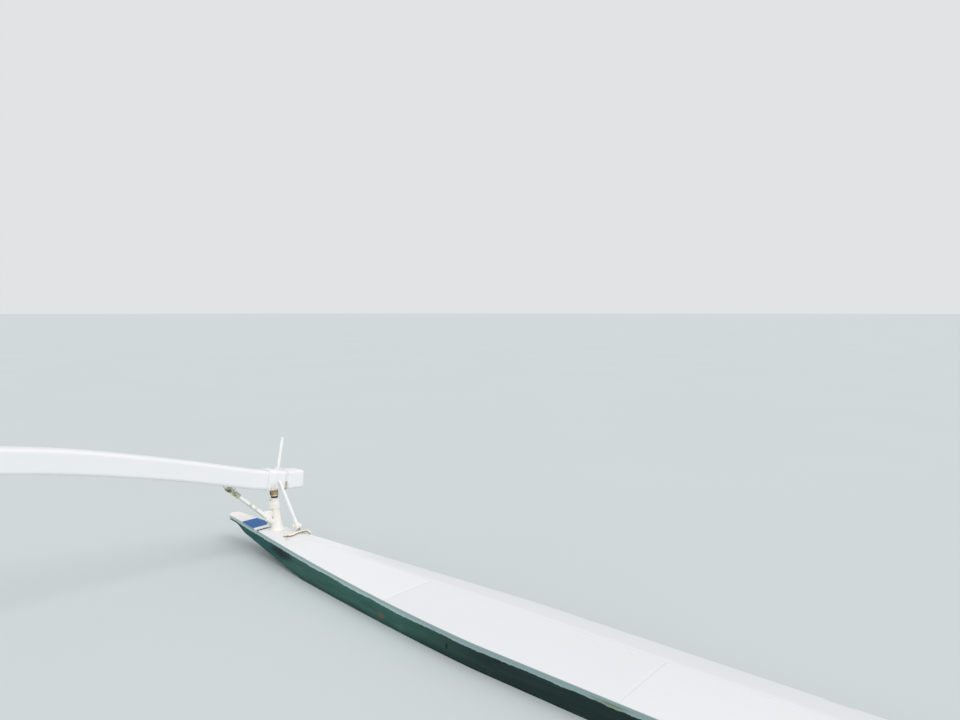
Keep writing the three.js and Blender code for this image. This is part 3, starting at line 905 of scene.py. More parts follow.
def deck_enamel(name, tone, seams=(), nose=False, board=False):
    """White enamel brushed over plywood, with its grime, worn edges and each piece's own tone."""
    white = shade(colours().enamel, tone)
    f = Finish(name, 0.5, Specular_IOR_Level=0.25)
    broad = f.noise((0.9, 3.5, 3.5), 3)
    brushed = f.noise((2.2, 110, 110), 3, 0.6)
    base = f.blend(shade(white, 0.98), white, broad, 0.3, 0.7)
    base = f.blend(base, shade(white, 0.95), brushed, 0.45, 0.75, 0.4)
    base = f.blend(base, srgb(214, 212, 202), f.noise((26, 34, 34), 5, 0.62), 0.62, 0.8, 0.25)
    reach = f.reach()
    share = f.share_of_beam(reach)
    if board:
        # Painted shade: the board's sloping part is greyer and cooler
        sloped = f.ease(reach, BEVEL_START_REACH, BEVEL_FULL_REACH)
        grey = tuple(channel * factor for channel, factor in zip(white, BOARD_GREY))
        base = f.mix(f.all_of(sloped, f.ease(share, 0.44, 0.70)), base, grey)
    for seam in seams:
        base = f.mix(f.all_of(f.near(f.x, seam, 0.0042, 0.0012), 0.06), base, srgb(172, 174, 170))
    # Rubbed edges show the grey undercoat in places
    rubbed = f.ease(f.noise((9, 60, 60), 4, 0.7), 0.54, 0.68)
    edge = f.ease(f.math("ABSOLUTE", share), 0.975, 1.0)
    base = f.mix(f.all_of(rubbed, edge, 0.4), base, srgb(186, 190, 186))
    # The plywood's edge is painted with the strip below it, its painted shade included
    side = f.ease(share, 1.0225, 1.026) if board else f.ease(f.below_sheer(), 0.0012, 0.0030)
    base = f.mix(side, base, shaded_strip_paint(f))
    if nose:
        base = nose_paint(f, base, reach)
    roughness = f.ease(brushed, 0.3, 0.8, 0.44, 0.6)
    marks = f.bump(brushed, 0.12, 0.0006)
    return f.done(base, roughness, f.bump(broad, 0.2, 0.004, marks))


def nose_deck_enamel():
    """The enamel of both nose decks."""
    return deck_enamel("deck_enamel_nose", NOSE_TONE, nose=True)


def bottom_paint():
    """Dark green paint with a pale strip under the deck, its lower edge painted by hand."""
    paint = colours()
    f = Finish("bottom_paint", 0.55, Specular_IOR_Level=0.15)
    reach = f.reach()
    streaks = f.noise((2.6, 40, 40), 5, 0.62)
    rubbed = f.noise((5.5, 30, 26), 6, 0.7)
    # Dark paint, greener towards the ends, streaked along the float, mottled and soaked low down
    green = f.blend(tuple(paint.bottom_light), tuple(paint.bottom), reach, 1.45, 2.15)
    # Teal near the tips: a painted reflection of the water
    green = f.blend(green, srgb(32, 88, 86), reach, 0.85, 0.45)
    green = f.mix(f.ease(streaks, 0.38, 0.72), green, (0.66, 0.68, 0.68), "MULTIPLY")
    green = f.blend(green, srgb(84, 120, 110), rubbed, 0.56, 0.74, 0.45)
    green = f.blend(green, shade(paint.bottom, 0.5), f.z, 0.03, 0.0, 0.5)
    inboard = f.ease(f.y, 0.0, -0.01)
    grain = f.noise((150, 150, 60), 3, 0.6)
    # Knocks and scratches, and a painted shadow below the boom
    for (place, height), spread, tint, low in SIDE_MARKS_AND_SHADOW:
        mark = f.spot((place, -half_beam(place), height), spread, 0.6)
        green = f.mix(f.all_of(mark, f.ease(grain, low, low + 0.22), inboard), green, srgb(*tint))
    # Pale strip in painted shade, narrower at the thin stem, with a wavering and ragged lower edge
    full = sizes().strip_depth
    ragged = f.noise((34, 1, 1), 3, 0.6)
    line = f.ease(f.noise((6, 1, 1), 4, 0.6), 0.2, 0.8, -0.0035, 0.0035)
    line = f.math("ADD", line, f.ease(reach, 0.08, 0.24, full * STEM_STRIP_SHARE, full))
    line = f.math("ADD", line, f.ease(ragged, 0.3, 0.7, -0.0014, 0.0014))
    strip = f.ease(f.math("SUBTRACT", line, f.below_sheer()), -0.0006, 0.0008)
    worn = f.ease(f.noise((22, 60, 60), 5, 0.7), 0.62, 0.70)
    strip = f.all_of(strip, f.math("SUBTRACT", 1.0, f.all_of(worn, 0.5)))
    stain = f.spot((STRIP_STAIN[0], -HALF_BEAM, STRIP_STAIN[1]), STRIP_STAIN_SPREAD, 0.8)
    stain = f.all_of(stain, f.ease(ragged, 0.2, 0.6, 0.5, 1.0), 0.85)
    base = f.mix(strip, green, f.mix(stain, shaded_strip_paint(f), srgb(122, 132, 94)))
    # Dark under the rope's hole: painted shade inside the hole
    base = f.mix(hole_mask(f, HOLE_RADIUS + 0.004, 0.2), base, srgb(52, 44, 34))
    roughness = f.ease(rubbed, 0.35, 0.7, 0.42, 0.66)
    thick = f.bump(strip, 0.35, 0.0005)
    return f.done(base, roughness, f.bump(streaks, 0.3, 0.0012, thick))


def boom_enamel():
    """Smooth white enamel brushed along a beam, worn and grimy beside the lashings."""
    white = tuple(colours().enamel)
    f = Finish("boom_enamel", 0.4, Specular_IOR_Level=0.35, Coat_Weight=0.06, Coat_Roughness=0.3)
    broad = f.noise((5, 1.6, 5), 3)
    brushed = f.noise((130, 3, 90), 3, 0.6)
    grime = f.noise((30, 22, 30), 5, 0.65)
    base = f.blend(shade(white, 0.975), white, broad, 0.3, 0.7)
    base = f.blend(base, shade(white, 0.95), brushed, 0.5, 0.8, 0.4)
    base = f.blend(base, srgb(214, 210, 198), grime, 0.64, 0.82, 0.3)
    # Grey spots where the white has worn off beside the inner lashing
    patch = f.spot((BOOM_REACH, -0.03, 0.42), (0.09, 0.07, 0.03), 0.7)
    spots = f.ease(f.noise((85, 85, 85), 2, 0.5), 0.60, 0.68)
    base = f.mix(f.all_of(patch, spots, 0.3), base, srgb(186, 188, 182))
    # Tan grime on both sides of the outer lashing, low down
    low = f.spot((BOOM_REACH, OUTER_BAND[0], 0.366), (0.09, 0.024, 0.028), 0.6)
    base = f.mix(f.all_of(low, f.ease(grime, 0.36, 0.56), 0.75), base, srgb(206, 199, 184))
    roughness = f.ease(broad, 0.3, 0.7, 0.34, 0.46)
    return f.done(base, roughness, f.bump(brushed, 0.12, 0.0005))


def stick_enamel():
    """White enamel on the braces and pegs, worn grey in places, with painted shade under each brace."""
    white = tuple(colours().stick)
    f = Finish("stick_enamel", 0.5, Specular_IOR_Level=0.35)
    blotches = f.noise((26, 26, 26), 5, 0.65)
    grain = f.noise((130, 130, 26), 4, 0.6)
    base = f.blend(white, shade(white, 0.92), blotches, 0.42, 0.72)
    base = f.blend(base, shade(white, 0.82), grain, 0.56, 0.76, 0.4)
    base = f.blend(base, srgb(214, 208, 186), f.noise((44, 44, 44), 4, 0.6), 0.62, 0.74, 0.4)
    # Painted shade along the underside of each brace, and two worn places part of the way up it
    slope = (BRACE_HEAD[1] - BRACE_FOOT[1]) / (BRACE_FOOT[0] - BRACE_HEAD[0])
    middle = f.math("MULTIPLY_ADD", f.y, -slope, BRACE_FOOT[1] + BRACE_FOOT[0] * slope)
    under = f.ease(f.math("SUBTRACT", middle, f.z), 0.005, 0.013)
    inboard = f.ease(f.y, -0.045, -0.075)
    base = f.mix(f.all_of(under, inboard, 0.75), base, srgb(196, 190, 168))
    for (outboard, height), tint in BRACE_MARKS:
        mark = f.spot((BOOM_REACH, outboard, height), (0.05, 0.013, 0.016), 0.6)
        base = f.mix(f.all_of(mark, 0.75), base, srgb(*tint))
    # The front peg's foot is painted dark brown below its knot, as painted shadow
    foot = f.all_of(f.ease(f.y, 0.070, 0.078), f.ease(f.z, 0.150, 0.142), 0.85)
    base = f.mix(foot, base, srgb(160, 142, 122))
    return f.done(base, f.ease(blotches, 0.3, 0.7, 0.4, 0.58), f.bump(grain, 0.25, 0.0007))


def post_enamel():
    """Cream-white enamel over a turned post, yellower near the lashings."""
    paint = colours()
    white = tuple(paint.post)
    f = Finish("post_enamel", 0.5, Specular_IOR_Level=0.35)
    grain = f.noise((70, 70, 5), 4, 0.6)
    blotches = f.noise((24, 24, 16), 5, 0.65)
    base = f.blend(white, shade(white, 0.95), grain, 0.4, 0.75)
    yellow = f.all_of(f.ease(f.z, 0.19, 0.30, 0.12, 0.52), f.ease(blotches, 0.38, 0.68))
    base = f.mix(yellow, base, tuple(paint.yellowed))
    runs = f.ease(f.noise((150, 150, 9), 3, 0.5), 0.60, 0.72, 0, 0.25)
    base = f.mix(f.all_of(runs, f.ease(blotches, 0.4, 0.6)), base, srgb(206, 192, 160))
    base = f.blend(base, srgb(150, 140, 122), f.noise((60, 60, 30), 3, 0.6), 0.70, 0.75, 0.3)
    drips = f.bump(f.noise((60, 60, 14), 3, 0.5), 0.3, 0.002)
    return f.done(base, f.ease(blotches, 0.3, 0.7, 0.4, 0.58), f.bump(grain, 0.2, 0.0007, drips))


class RopeFinish(Finish):
    """A finish that follows a rope's own strands and knows which side of it faces out."""

    def __init__(self, name, roughness, **settings):
        super().__init__(name, roughness, **settings)
        lay = self.node("ShaderNodeAttribute", {"attribute_name": "lay"})
        exposed = self.node("ShaderNodeAttribute", {"attribute_name": "exposed"})
        self.exposed = exposed.outputs["Fac"]
        self.fibres = self.noise((5, 5, 150), 3, 0.6, where=lay.outputs["Vector"])

    def uneven_height(self, blotches):
        """Height, raised and lowered in blotches, for paint that ends at a level."""
        return self.math("ADD", self.z, self.ease(blotches, 0.3, 0.7, -0.006, 0.006))


def bare_rope():
    """Laid rope, tan with olive and brown weathering."""
    paint = colours()
    f = RopeFinish("rope", 0.85, Sheen_Weight=0.15)
    dark = tuple(paint.rope_dark)
    tan = f.blend(tuple(paint.rope), shade(paint.rope, 1.35), f.fibres, 0.35, 0.7)
    base = f.blend(tan, dark, f.noise((22, 22, 22), 4, 0.6), 0.42, 0.64, 0.9)
    # Painted shade in the grooves and on the side turned in towards what it is wound on
    base = f.blend(base, shade(dark, 0.6), f.exposed, 0.1, -0.5, 0.7)
    return f.done(base, None, f.bump(f.fibres, 0.6, 0.0006))


def olive_rope():
    """Old rope with thin grey-green paint left on it, dark olive where it has worn through."""
    f = RopeFinish("olive_rope", 0.8)
    base = f.blend(srgb(216, 216, 194), srgb(190, 192, 166), f.fibres, 0.35, 0.7)
    base = f.blend(base, srgb(150, 156, 122), f.noise((36, 36, 36), 4, 0.6), 0.42, 0.60, 0.75)
    for (outboard, height), spread, tint, strength, soft in HEAD_ROPE_MARKS:
        mark = f.spot((BOOM_REACH, outboard, height), spread, soft)
        base = f.mix(f.all_of(mark, strength), base, srgb(*tint))
    # Painted shade in the grooves and on the side turned in towards what it is wound on
    base = f.blend(base, srgb(92, 100, 76), f.exposed, 0.2, -0.4, 0.5)
    return f.done(base, None, f.bump(f.fibres, 0.5, 0.0005))


def pale_rope():
    """Rope over the nose deck, painted cream above, with brown painted shadow where it lies on the
    deck.
    """
    f = RopeFinish("pale_rope", 0.8)
    cream = f.blend(srgb(250, 246, 238), srgb(240, 233, 220), f.fibres, 0.35, 0.7)
    base = f.blend(cream, srgb(222, 208, 180), f.noise((30, 30, 30), 4, 0.6), 0.56, 0.76, 0.3)
    base = f.blend(base, srgb(150, 134, 108), f.exposed, 0.25, -0.15, 0.85)
    return f.done(base, None, f.bump(f.fibres, 0.5, 0.0006))


def painted_rope(name="painted_rope", bare_below=None, clean_above=None, streaks=()):
    """Rope under white paint, bare below one height and clean above another, with darker streaks."""
    paint = colours()
    f = RopeFinish(name, 0.6, Specular_IOR_Level=0.3)
    blotches = f.noise((34, 34, 34), 5, 0.65)
    level = f.uneven_height(blotches)
    base = f.blend(tuple(paint.painted_rope), tuple(paint.yellowed), blotches, 0.48, 0.74, 0.6)
    # Grime and painted shade in the hollows between strands and turns
    hollow = f.all_of(f.ease(f.exposed, 0.1, -0.5), 0.55)
    base = f.mix(hollow, base, tuple(paint.rope_hollow))
    flaked = f.noise((110, 110, 110), 3, 0.6)
    base = f.blend(base, shade(paint.rope, 0.95), flaked, 0.67, 0.73, 0.35)
    if bare_below is not None:
        brown = f.blend(srgb(224, 216, 202), srgb(206, 194, 174), f.fibres, 0.3, 0.7)
        base = f.blend(base, brown, level, bare_below + 0.005, bare_below - 0.005)
    for height in streaks:
        streak = f.all_of(f.near(f.z, height, 0.0055, 0.002), 0.8)
        base = f.mix(streak, base, srgb(164, 146, 116))
    if clean_above is not None:
        white = tuple(paint.enamel)
        base = f.blend(base, white, level, clean_above - 0.006, clean_above + 0.006, 0.95)
    return f.done(base, f.ease(blotches, 0.3, 0.7, 0.5, 0.75), f.bump(f.fibres, 0.3, 0.0005))


def outer_band_rope():
    """Painted rope of the outer boom lashing, bare low down, stained part way up and clean on top."""
    return painted_rope("outer_band_rope", 0.392, 0.400, (0.356, 0.376, 0.389))


def inner_band_rope():
    """Painted rope of the inner boom lashing, rubbed grey low down beside the post."""
    f = RopeFinish("inner_band_rope", 0.6)
    blotches = f.noise((60, 60, 60), 4, 0.6)
    level = f.uneven_height(blotches)
    rubbed = f.all_of(f.ease(level, 0.399, 0.388), f.ease(f.y, -0.052, -0.040))
    base = f.mix(rubbed, tuple(colours().enamel), srgb(228, 222, 220))
    bare = f.all_of(f.ease(level, 0.385, 0.374), f.ease(f.y, -0.053, -0.044))
    cream = f.blend(srgb(244, 240, 222), srgb(204, 200, 184), blotches, 0.4, 0.6)
    return f.done(f.mix(bare, base, cream), 0.6, f.bump(f.fibres, 0.2, 0.0004))


def wound_tape():
    """Black tape, dull, with dusty edges and stretch marks."""
    f = Finish("tape", 0.5)
    black = tuple(colours().tape)
    dust = f.noise((60, 60, 160), 4, 0.6)
    base = f.blend(black, shade(black, 3.2), dust, 0.5, 0.75, 0.7)
    creases = f.noise((30, 30, 400), 2, 0.5)
    return f.done(base, f.ease(dust, 0.3, 0.7, 0.42, 0.62), f.bump(creases, 0.4, 0.0006))


FINISHES = {
    "bottom_paint": bottom_paint,
    "deck_enamel_nose": nose_deck_enamel,
    "boom_enamel": boom_enamel,
    "post_enamel": post_enamel,
    "stick_enamel": stick_enamel,
    "rope": bare_rope,
    "pale_rope": pale_rope,
    "olive_rope": olive_rope,
    "painted_rope": painted_rope,
    "inner_band_rope": inner_band_rope,
    "outer_band_rope": outer_band_rope,
    "tape": wound_tape,
}


def finish_named(name):
    """The material of a finish, made the first time that it is asked for."""
    return bpy.data.materials.get(f"{name}_finish") or FINISHES[name]()


# Float

def nose_block_section(reach):
    width = half_beam(reach)
    top = deck_height(reach) - DECK_PLY - GAP
    chine = chine_height(reach)
    keel = keel_height(reach)
    inner = width * KEEL_SHARE
    return [(-width, top), (-width, chine), (-inner, keel), (inner, keel), (width, chine), (width, top)]


def hull_section(reach):
    width = half_beam(reach)
    top = deck_height(reach) - DECK_PLY - GAP
    chine = chine_height(reach)
    sloping = bevel_start(reach)
    low = top - bevel_drop(reach)
    return [(-width, top), (-width, chine), (width, chine), (width, low), (sloping, top)]


def bottom_section(reach):
    width = half_beam(reach)
    chine = chine_height(reach) - GAP
    inner = width * KEEL_SHARE
    keel = keel_height(reach)
    return [(-width, chine), (-inner, keel), (inner, keel), (width, chine)]


def panel_section(reach):
    width = half_beam(reach)
    top = deck_height(reach)
    edge = bevel_start(reach) - GAP
    return [(-width, top), (-width, top - DECK_PLY), (edge, top - DECK_PLY), (edge, top)]


def board_section(reach):
    width = half_beam(reach)
    top = deck_height(reach)
    start = bevel_start(reach)
    low = top - bevel_drop(reach)
    edge = width * BOARD_EDGE
    return [(start, top), (start, top - DECK_PLY), (edge, low - DECK_PLY), (edge, low)]


class OUTRIGGER_OT_hull(bpy.types.Operator):
    """Nose blocks, hull body and bottom planking"""

    bl_idname = "outrigger.hull"
    bl_label = "Hull"

    def execute(self, context):
        material = finish_named("bottom_paint")
        chine_round = sizes().chine_round
        spans = {
            "nose_block_aft": (-HALF_LENGTH, -NOSE_X - GAP, nose_block_section),
            "nose_block_fore": (NOSE_X + GAP, HALF_LENGTH, nose_block_section),
            "hull_body": (-NOSE_X, NOSE_X, hull_section),
            "bottom_planking": (-NOSE_X, NOSE_X, bottom_section),
        }
        for node, (start, stop, section) in spans.items():
            mesh = float_piece(start, stop, section)
            if node.startswith("nose"):
                lower = sharp_edges(mesh, 25, lambda p: p.z < deck_under(p) - DECK_PLY - 0.004)
                round_edges(mesh, lower, chine_round)
            finish_piece(f"{node}_planked", mesh, material, node, sharp=32)
        return {"FINISHED"}


def round_deck_piece(mesh, top_of):
    """Eases the edges round the upper face of a deck board."""
    upper = sharp_edges(mesh, 50, lambda p: abs(p.z - top_of(p)) < 0.0004)
    round_edges(mesh, upper, sizes().deck_round)


def board_top(point):
    reach = HALF_LENGTH - abs(point.x)
    start, stop = bevel_start(reach), half_beam(reach) * BOARD_EDGE
    share = clamp01((point.y - start) / (stop - start))
    return deck_height(reach) - bevel_drop(reach) * share


def bore_hole(mesh, middle, radius, cell):
    """A round hole down through a deck board, in the square cell of its faces that lies over it."""
    cuts = 3
    loops = []
    for upper in (True, False):
        for face in mesh.faces:
            centre = face.calc_center_median()
            if (face.normal.z > 0.9) == upper and abs(face.normal.z) > 0.9:
                if abs(centre.x - middle.x) < cell / 2 and abs(centre.y - middle.y) < cell / 2:
                    patch = face
        edges = list(patch.edges)
        level = patch.calc_center_median().z
        bmesh.ops.delete(mesh, geom=[patch], context="FACES_ONLY")
        around = bmesh.ops.subdivide_edges(mesh, edges=edges, cuts=cuts)["geom_split"]
        rim = [item for item in around if isinstance(item, bmesh.types.BMEdge) and item.is_boundary]
        # The circle has as many points as the cell's rim
        made = bmesh.ops.create_circle(
            mesh, cap_ends=False, radius=radius, segments=4 * (cuts + 1),
            matrix=Matrix.Translation((middle.x, middle.y, level)),
        )["verts"]
        ring = list({edge for vert in made for edge in vert.link_edges})
        bmesh.ops.bridge_loops(mesh, edges=rim + ring)
        loops.append([edge for edge in ring if edge.is_valid])
    bmesh.ops.bridge_loops(mesh, edges=loops[0] + loops[1])
    bmesh.ops.recalc_face_normals(mesh, faces=mesh.faces)


class OUTRIGGER_OT_deck(bpy.types.Operator):
    """Nose decks, deck panels and the sloping outboard board"""

    bl_idname = "outrigger.deck"
    bl_label = "Deck"

    def execute(self, context):
        for end in ENDS:
            self.nose_deck(end)
        seams = panel_seams()
        for i, (start, stop, tone) in enumerate(zip(seams, seams[1:], PANEL_TONES), start=1):
            mesh = float_piece(start + GAP / 2, stop - GAP / 2, panel_section)
            round_deck_piece(mesh, deck_under)
            worn = [x for x in (start, stop) if abs(x) < NOSE_X]
            material = deck_enamel(f"deck_enamel_{i}", tone, worn)
            finish_piece(f"deck_panel_{i}_plywood", mesh, material, f"deck_panel_{i}")
        mesh = float_piece(-NOSE_X, NOSE_X, board_section)
        round_deck_piece(mesh, board_top)
        material = deck_enamel("deck_enamel_board", BOARD_TONE, board=True)
        finish_piece("outboard_board_sloped", mesh, material, "outboard_deck_board")
        return {"FINISHED"}

    def nose_deck(self, end):
        mesh = bmesh.new()
        hole = end.place(*HOLE, 0)
        half = HOLE_CELL / 2
        start, stop = (-HALF_LENGTH, -NOSE_X - GAP) if end.side < 0 else (NOSE_X + GAP, HALF_LENGTH)
        places = [x for x in places_between(start, stop) if abs(x - hole.x) > half + 0.003]
        places = sorted([*places, hole.x - half, hole.x + half])
        rings = []
        for x in places:
            reach = HALF_LENGTH - abs(x)
            width = half_beam(reach)
            top = deck_height(reach)
            # Two lines along the deck pass on either side of the hole
            across = [-width, max(-0.8 * width, hole.y - half), min(0.8 * width, hole.y + half), width]
            upper = [(y, top) for y in across]
            lower = [(y, top - DECK_PLY) for y in across]
            rings.append([Vector((x, y, z)) for y, z in upper + lower[::-1]])
        loft(mesh, rings)
        bmesh.ops.recalc_face_normals(mesh, faces=mesh.faces)
        bore_hole(mesh, hole, HOLE_RADIUS, HOLE_CELL)
        rim = sharp_edges(mesh, 50, lambda p: abs(p.z - deck_under(p)) < 0.0006)
        round_edges(mesh, rim, sizes().deck_round * 0.9)
        finish_piece(f"nose_deck_{end.name}_plywood", mesh, finish_named("deck_enamel_nose"),
                     f"nose_deck_{end.name}")


# Booms

def rounded_rectangle(width, depth, radius, segments=6, shoulder=0.003):
    """Points round a rectangle with round corners, with one more point on each flat near a corner."""
    points = []
    for quarter, (sx, sy) in enumerate(((1, 1), (-1, 1), (-1, -1), (1, -1))):
        middle = Vector((sx * (width / 2 - radius), sy * (depth / 2 - radius)))
        first = quarter * math.pi / 2
        arc = []
        for k in range(segments + 1):
            angle = first + math.pi / 2 * k / segments
            arc.append(middle + Vector((math.cos(angle), math.sin(angle))) * radius)
        before = arc[0] - Vector((-math.sin(first), math.cos(first))) * shoulder
        last = first + math.pi / 2
        after = arc[-1] + Vector((-math.sin(last), math.cos(last))) * shoulder
        points += [before, *arc, after]
    return points


def boom_section(end, outboard, width, depth, radius):
    point, along = boom_at(outboard)
    if outboard < BOOM_LINE[-2][0]:
        along = Vector((0, 1, 0))
    up = Vector((0, -along.z, along.y))
    ring = []
    for u, v in rounded_rectangle(width, depth, radius):
        ring.append(Vector((end.boom_x, 0, 0)) + point + Vector((u, 0, 0)) + up * v)
    return ring


class OUTRIGGER_OT_booms(bpy.types.Operator):
    """The two arched booms"""

    bl_idname = "outrigger.booms"
    bl_label = "Booms"

    def execute(self, context):
        edge = sizes().boom_round
        tip = sizes().boom_end_round
        outer, inner = BOOM_LINE[0][0], BOOM_INNER_END
        eased = [tip * share for share in (0, 0.04, 0.15, 0.32, 0.5, 0.73, 1)]
        body = []
        spot = outer - tip - 0.02
        while spot > inner + tip + 0.02:
            body.append(spot)
            spot -= 0.024
        places = [outer - u for u in eased] + body + [inner + u for u in reversed(eased)]
        for end in ENDS:
            mesh = bmesh.new()
            rings = []
            for spot in places:
                from_end = min(outer - spot, spot - inner)
                depth, width = boom_depth(spot), BOOM_WIDTH
                if from_end < tip:
                    depth -= 2 * (tip - math.sqrt(tip ** 2 - (tip - from_end) ** 2))
                if from_end < edge:
                    width -= 2 * (edge - math.sqrt(edge ** 2 - (edge - from_end) ** 2))
                corner = lerp(edge * 0.55, edge, clamp01(from_end / edge))
                rings.append(boom_section(end, spot, width, depth, corner))
            loft(mesh, rings)
            finish_piece(f"boom_{end.name}_laminated", mesh, finish_named("boom_enamel"),
                         f"boom_{end.name}")
        return {"FINISHED"}


# Posts

class OUTRIGGER_OT_posts(bpy.types.Operator):
    """Turned posts under the booms, each with its ring of tape"""

    bl_idname = "outrigger.posts"
    bl_label = "Posts"

    def execute(self, context):
        for end in ENDS:
            self.post(end)
            self.tape(end)
        return {"FINISHED"}

    def post(self, end):
        mesh = bmesh.new()
        top = boom_underside(POST_OUT + POST_NECK) - 2 * GAP
        turned = smooth_course([Vector((r, 0, z)) for r, z in POST_PROFILE], 5)
        bottom = POST_PROFILE[0][1] - 0.002
        outline = [Vector((0, 0, bottom)), Vector((POST_PROFILE[0][0], 0, bottom)), *turned]
        height = POST_PROFILE[-1][1]
        while height + 0.008 < top - 0.003:
            height += 0.008
            outline.append(Vector((POST_NECK, 0, height)))
        outline += [Vector((POST_NECK, 0, top - 0.0025)), Vector((POST_NECK - 0.002, 0, top))]
        outline.append(Vector((0, 0, top)))
        verts = [mesh.verts.new(point) for point in outline]
        edges = [mesh.edges.new(pair) for pair in zip(verts, verts[1:])]
        bmesh.ops.spin(
            mesh, geom=verts + edges, cent=(0, 0, 0), axis=(0, 0, 1), angle=TAU, steps=44,
            use_merge=True,
        )
        bmesh.ops.remove_doubles(mesh, verts=mesh.verts, dist=0.00002)
        for vert in mesh.verts:
            height = vert.co.z
            out = Vector((vert.co.x, vert.co.y, 0))
            if out.length > 0.001:
                worked = noise.noise(Vector((out.x * 30, out.y * 30, height * 22 + end.side)))
                vert.co += out.normalized() * 0.0007 * worked
            vert.co += post_axis(end, height) - Vector((0, 0, height))
            vert.co.z = max(vert.co.z, deck_under(vert.co) + GAP)
        finish_piece(f"post_{end.name}_turned", mesh, finish_named("post_enamel"),
                     f"post_{end.name}")

    def tape(self, end):
        """One strip wound round the neck, each layer on the last and a little askew."""
        mesh = bmesh.new()
        layers = 2.6
        steps = round(layers * 40)
        thickness = sizes().tape_thickness / 3
        rings = []
        for i in range(steps + 1):
            turn = TAU * layers * i / steps
            radius = POST_NECK + GAP + thickness * i / steps * 2
            askew = 0.0006 * math.sin(turn * 0.5)
            out = Vector((math.cos(turn), math.sin(turn), 0))
            ring = []
            for away, up in ((0, 0), (thickness, 0.0002), (thickness, 0.9), (0, 1)):
                rise = TAPE_BOTTOM + 0.0004 + askew + up * (TAPE_HEIGHT - 0.0012)
                ring.append(post_axis(end, rise) + out * (radius + away))
            rings.append(ring)
        loft(mesh, rings)
        finish_piece(f"post_tape_{end.name}_wound", mesh, finish_named("tape"),
                     f"post_tape_{end.name}", sharp=60)


class OUTRIGGER_OT_post_ropes(bpy.types.Operator):
    """Rope at the head of each post and the painted binding below the tape"""

    bl_idname = "outrigger.post_ropes"
    bl_label = "Post ropes"

    def execute(self, context):
        rope = sizes().lashing_rope / 2
        for end in ENDS:
            mesh = bmesh.new()
            low = TAPE_BOTTOM + TAPE_HEIGHT + rope + GAP
            high = boom_underside(POST_OUT + 0.025) - rope - 2 * GAP
            turns = (high - low) / (2 * rope)
            neck = (POST_NECK + GAP, POST_NECK + GAP)
            add_rope(mesh, coil(post_axis(end, low), post_axis(end, high), neck, rope, turns,
                                first=0.6, seed=end.side), rope, groove=0.14)
            finish_rope(f"post_head_rope_{end.name}", mesh, "rope",
                        f"post_head_lashing_{end.name}")
            self.binding(end, rope)
        return {"FINISHED"}

    def binding(self, end, rope):
        mesh = bmesh.new()
        # A first layer of thin turns, close on the post
        thin = rope * BINDING_THIN
        low, high = BINDING_BOTTOM + thin, BINDING_TOP - thin
        radii = (post_radius(low) + GAP, post_radius(high) + GAP)
        turns = (high - low) / (2 * thin)
        start, stop = post_axis(end, low), post_axis(end, high)
        add_rope(mesh, coil(start, stop, radii, thin, turns, seed=2 + end.side), thin, groove=0.05)
        # Thicker layers that bulge out on the inboard side only
        low, high = low + 0.003, high - 0.0005
        for inward, extra, drop in BINDING_LAYERS:
            shift = Vector((0, -inward, 0))
            start, stop = post_axis(end, low) + shift, post_axis(end, high - drop) + shift
            over = (post_radius(low) + extra, post_radius(high) + extra)
            turns = (high - drop - low) / (2 * rope)
            add_rope(mesh, coil(start, stop, over, rope, -turns, first=1.9 + inward * 200,
                                lumps=0.0010, seed=5 + end.side), rope, groove=0.05)
        # The end of the rope tucked in a knot on the inboard side
        middle = post_axis(end, lerp(low, high, 0.55))
        out = Vector((0.35 * -end.side, -1, 0)).normalized()
        knot = middle + out * (post_radius(0.27) + rope * 3.4)
        add_rope(mesh, overhand(knot, out, 0.0068, 0.0016), rope * 0.75, groove=0.04)
        finish_rope(f"post_binding_rope_{end.name}", mesh, "painted_rope",
                    f"post_binding_{end.name}")


# Lashings round the booms

def band_course(end, middle, width, rope, seed, crowd=1.0):
    """Course of a rope wound round a boom; crowd above 1 pushes its turns into each other."""
    depth = boom_depth(middle) + 2 * rope
    loop = rounded_rectangle(BOOM_WIDTH + 2 * rope, depth, sizes().boom_round + rope, 8, 0.0005)
    loop.append(loop[0])
    lengths = [0.0]
    for near, far in zip(loop, loop[1:]):
        lengths.append(lengths[-1] + (far - near).length)
    around = lengths[-1]
    turns = max(1, round((width - 2 * rope) / (2 * rope) * crowd))
    beside_post = POST_OUT - POST_NECK - rope - 0.004
    count = round(turns * around / ROPE_STEP)
    course = []
    k = 0
    for i in range(count + 1):
        gone = turns * around * i / count
        on_loop = gone % around
        k = 0 if on_loop < lengths[k] else k
        while lengths[k + 1] < on_loop:
            k += 1
        share = (on_loop - lengths[k]) / (lengths[k + 1] - lengths[k])
        u, v = loop[k].lerp(loop[k + 1], share)
        sway = noise.noise(Vector((gone * 9, seed, 0.5)))
        outboard = middle + (0.5 - i / count) * (width - 2 * rope) + 0.0006 * sway
        if middle < 0 and outboard > beside_post:
            # Under the boom the last turns crowd together beside the post
            under = clamp01(-v / depth * 5 - 1.4) * clamp01(3 - abs(u) / 0.014)
            outboard = lerp(outboard, beside_post, under)
        point, along = boom_at(outboard)
        up = Vector((0, -along.z, along.y))
        lift = 1 + 0.006 * noise.noise(Vector((gone * 14, seed, 7.5)))
        offset = Vector((u, 0, 0)) * lift + up * v * lift
        half_width, half_depth = BOOM_WIDTH / 2 - 0.012, boom_depth(outboard) / 2 - 0.012
        core = Vector((max(-half_width, min(half_width, u)), 0, 0))
        core += up * max(-half_depth, min(half_depth, v))
        out = (offset - core).normalized()
        course.append((Vector((end.boom_x, 0, 0)) + point + offset, out))
    return course


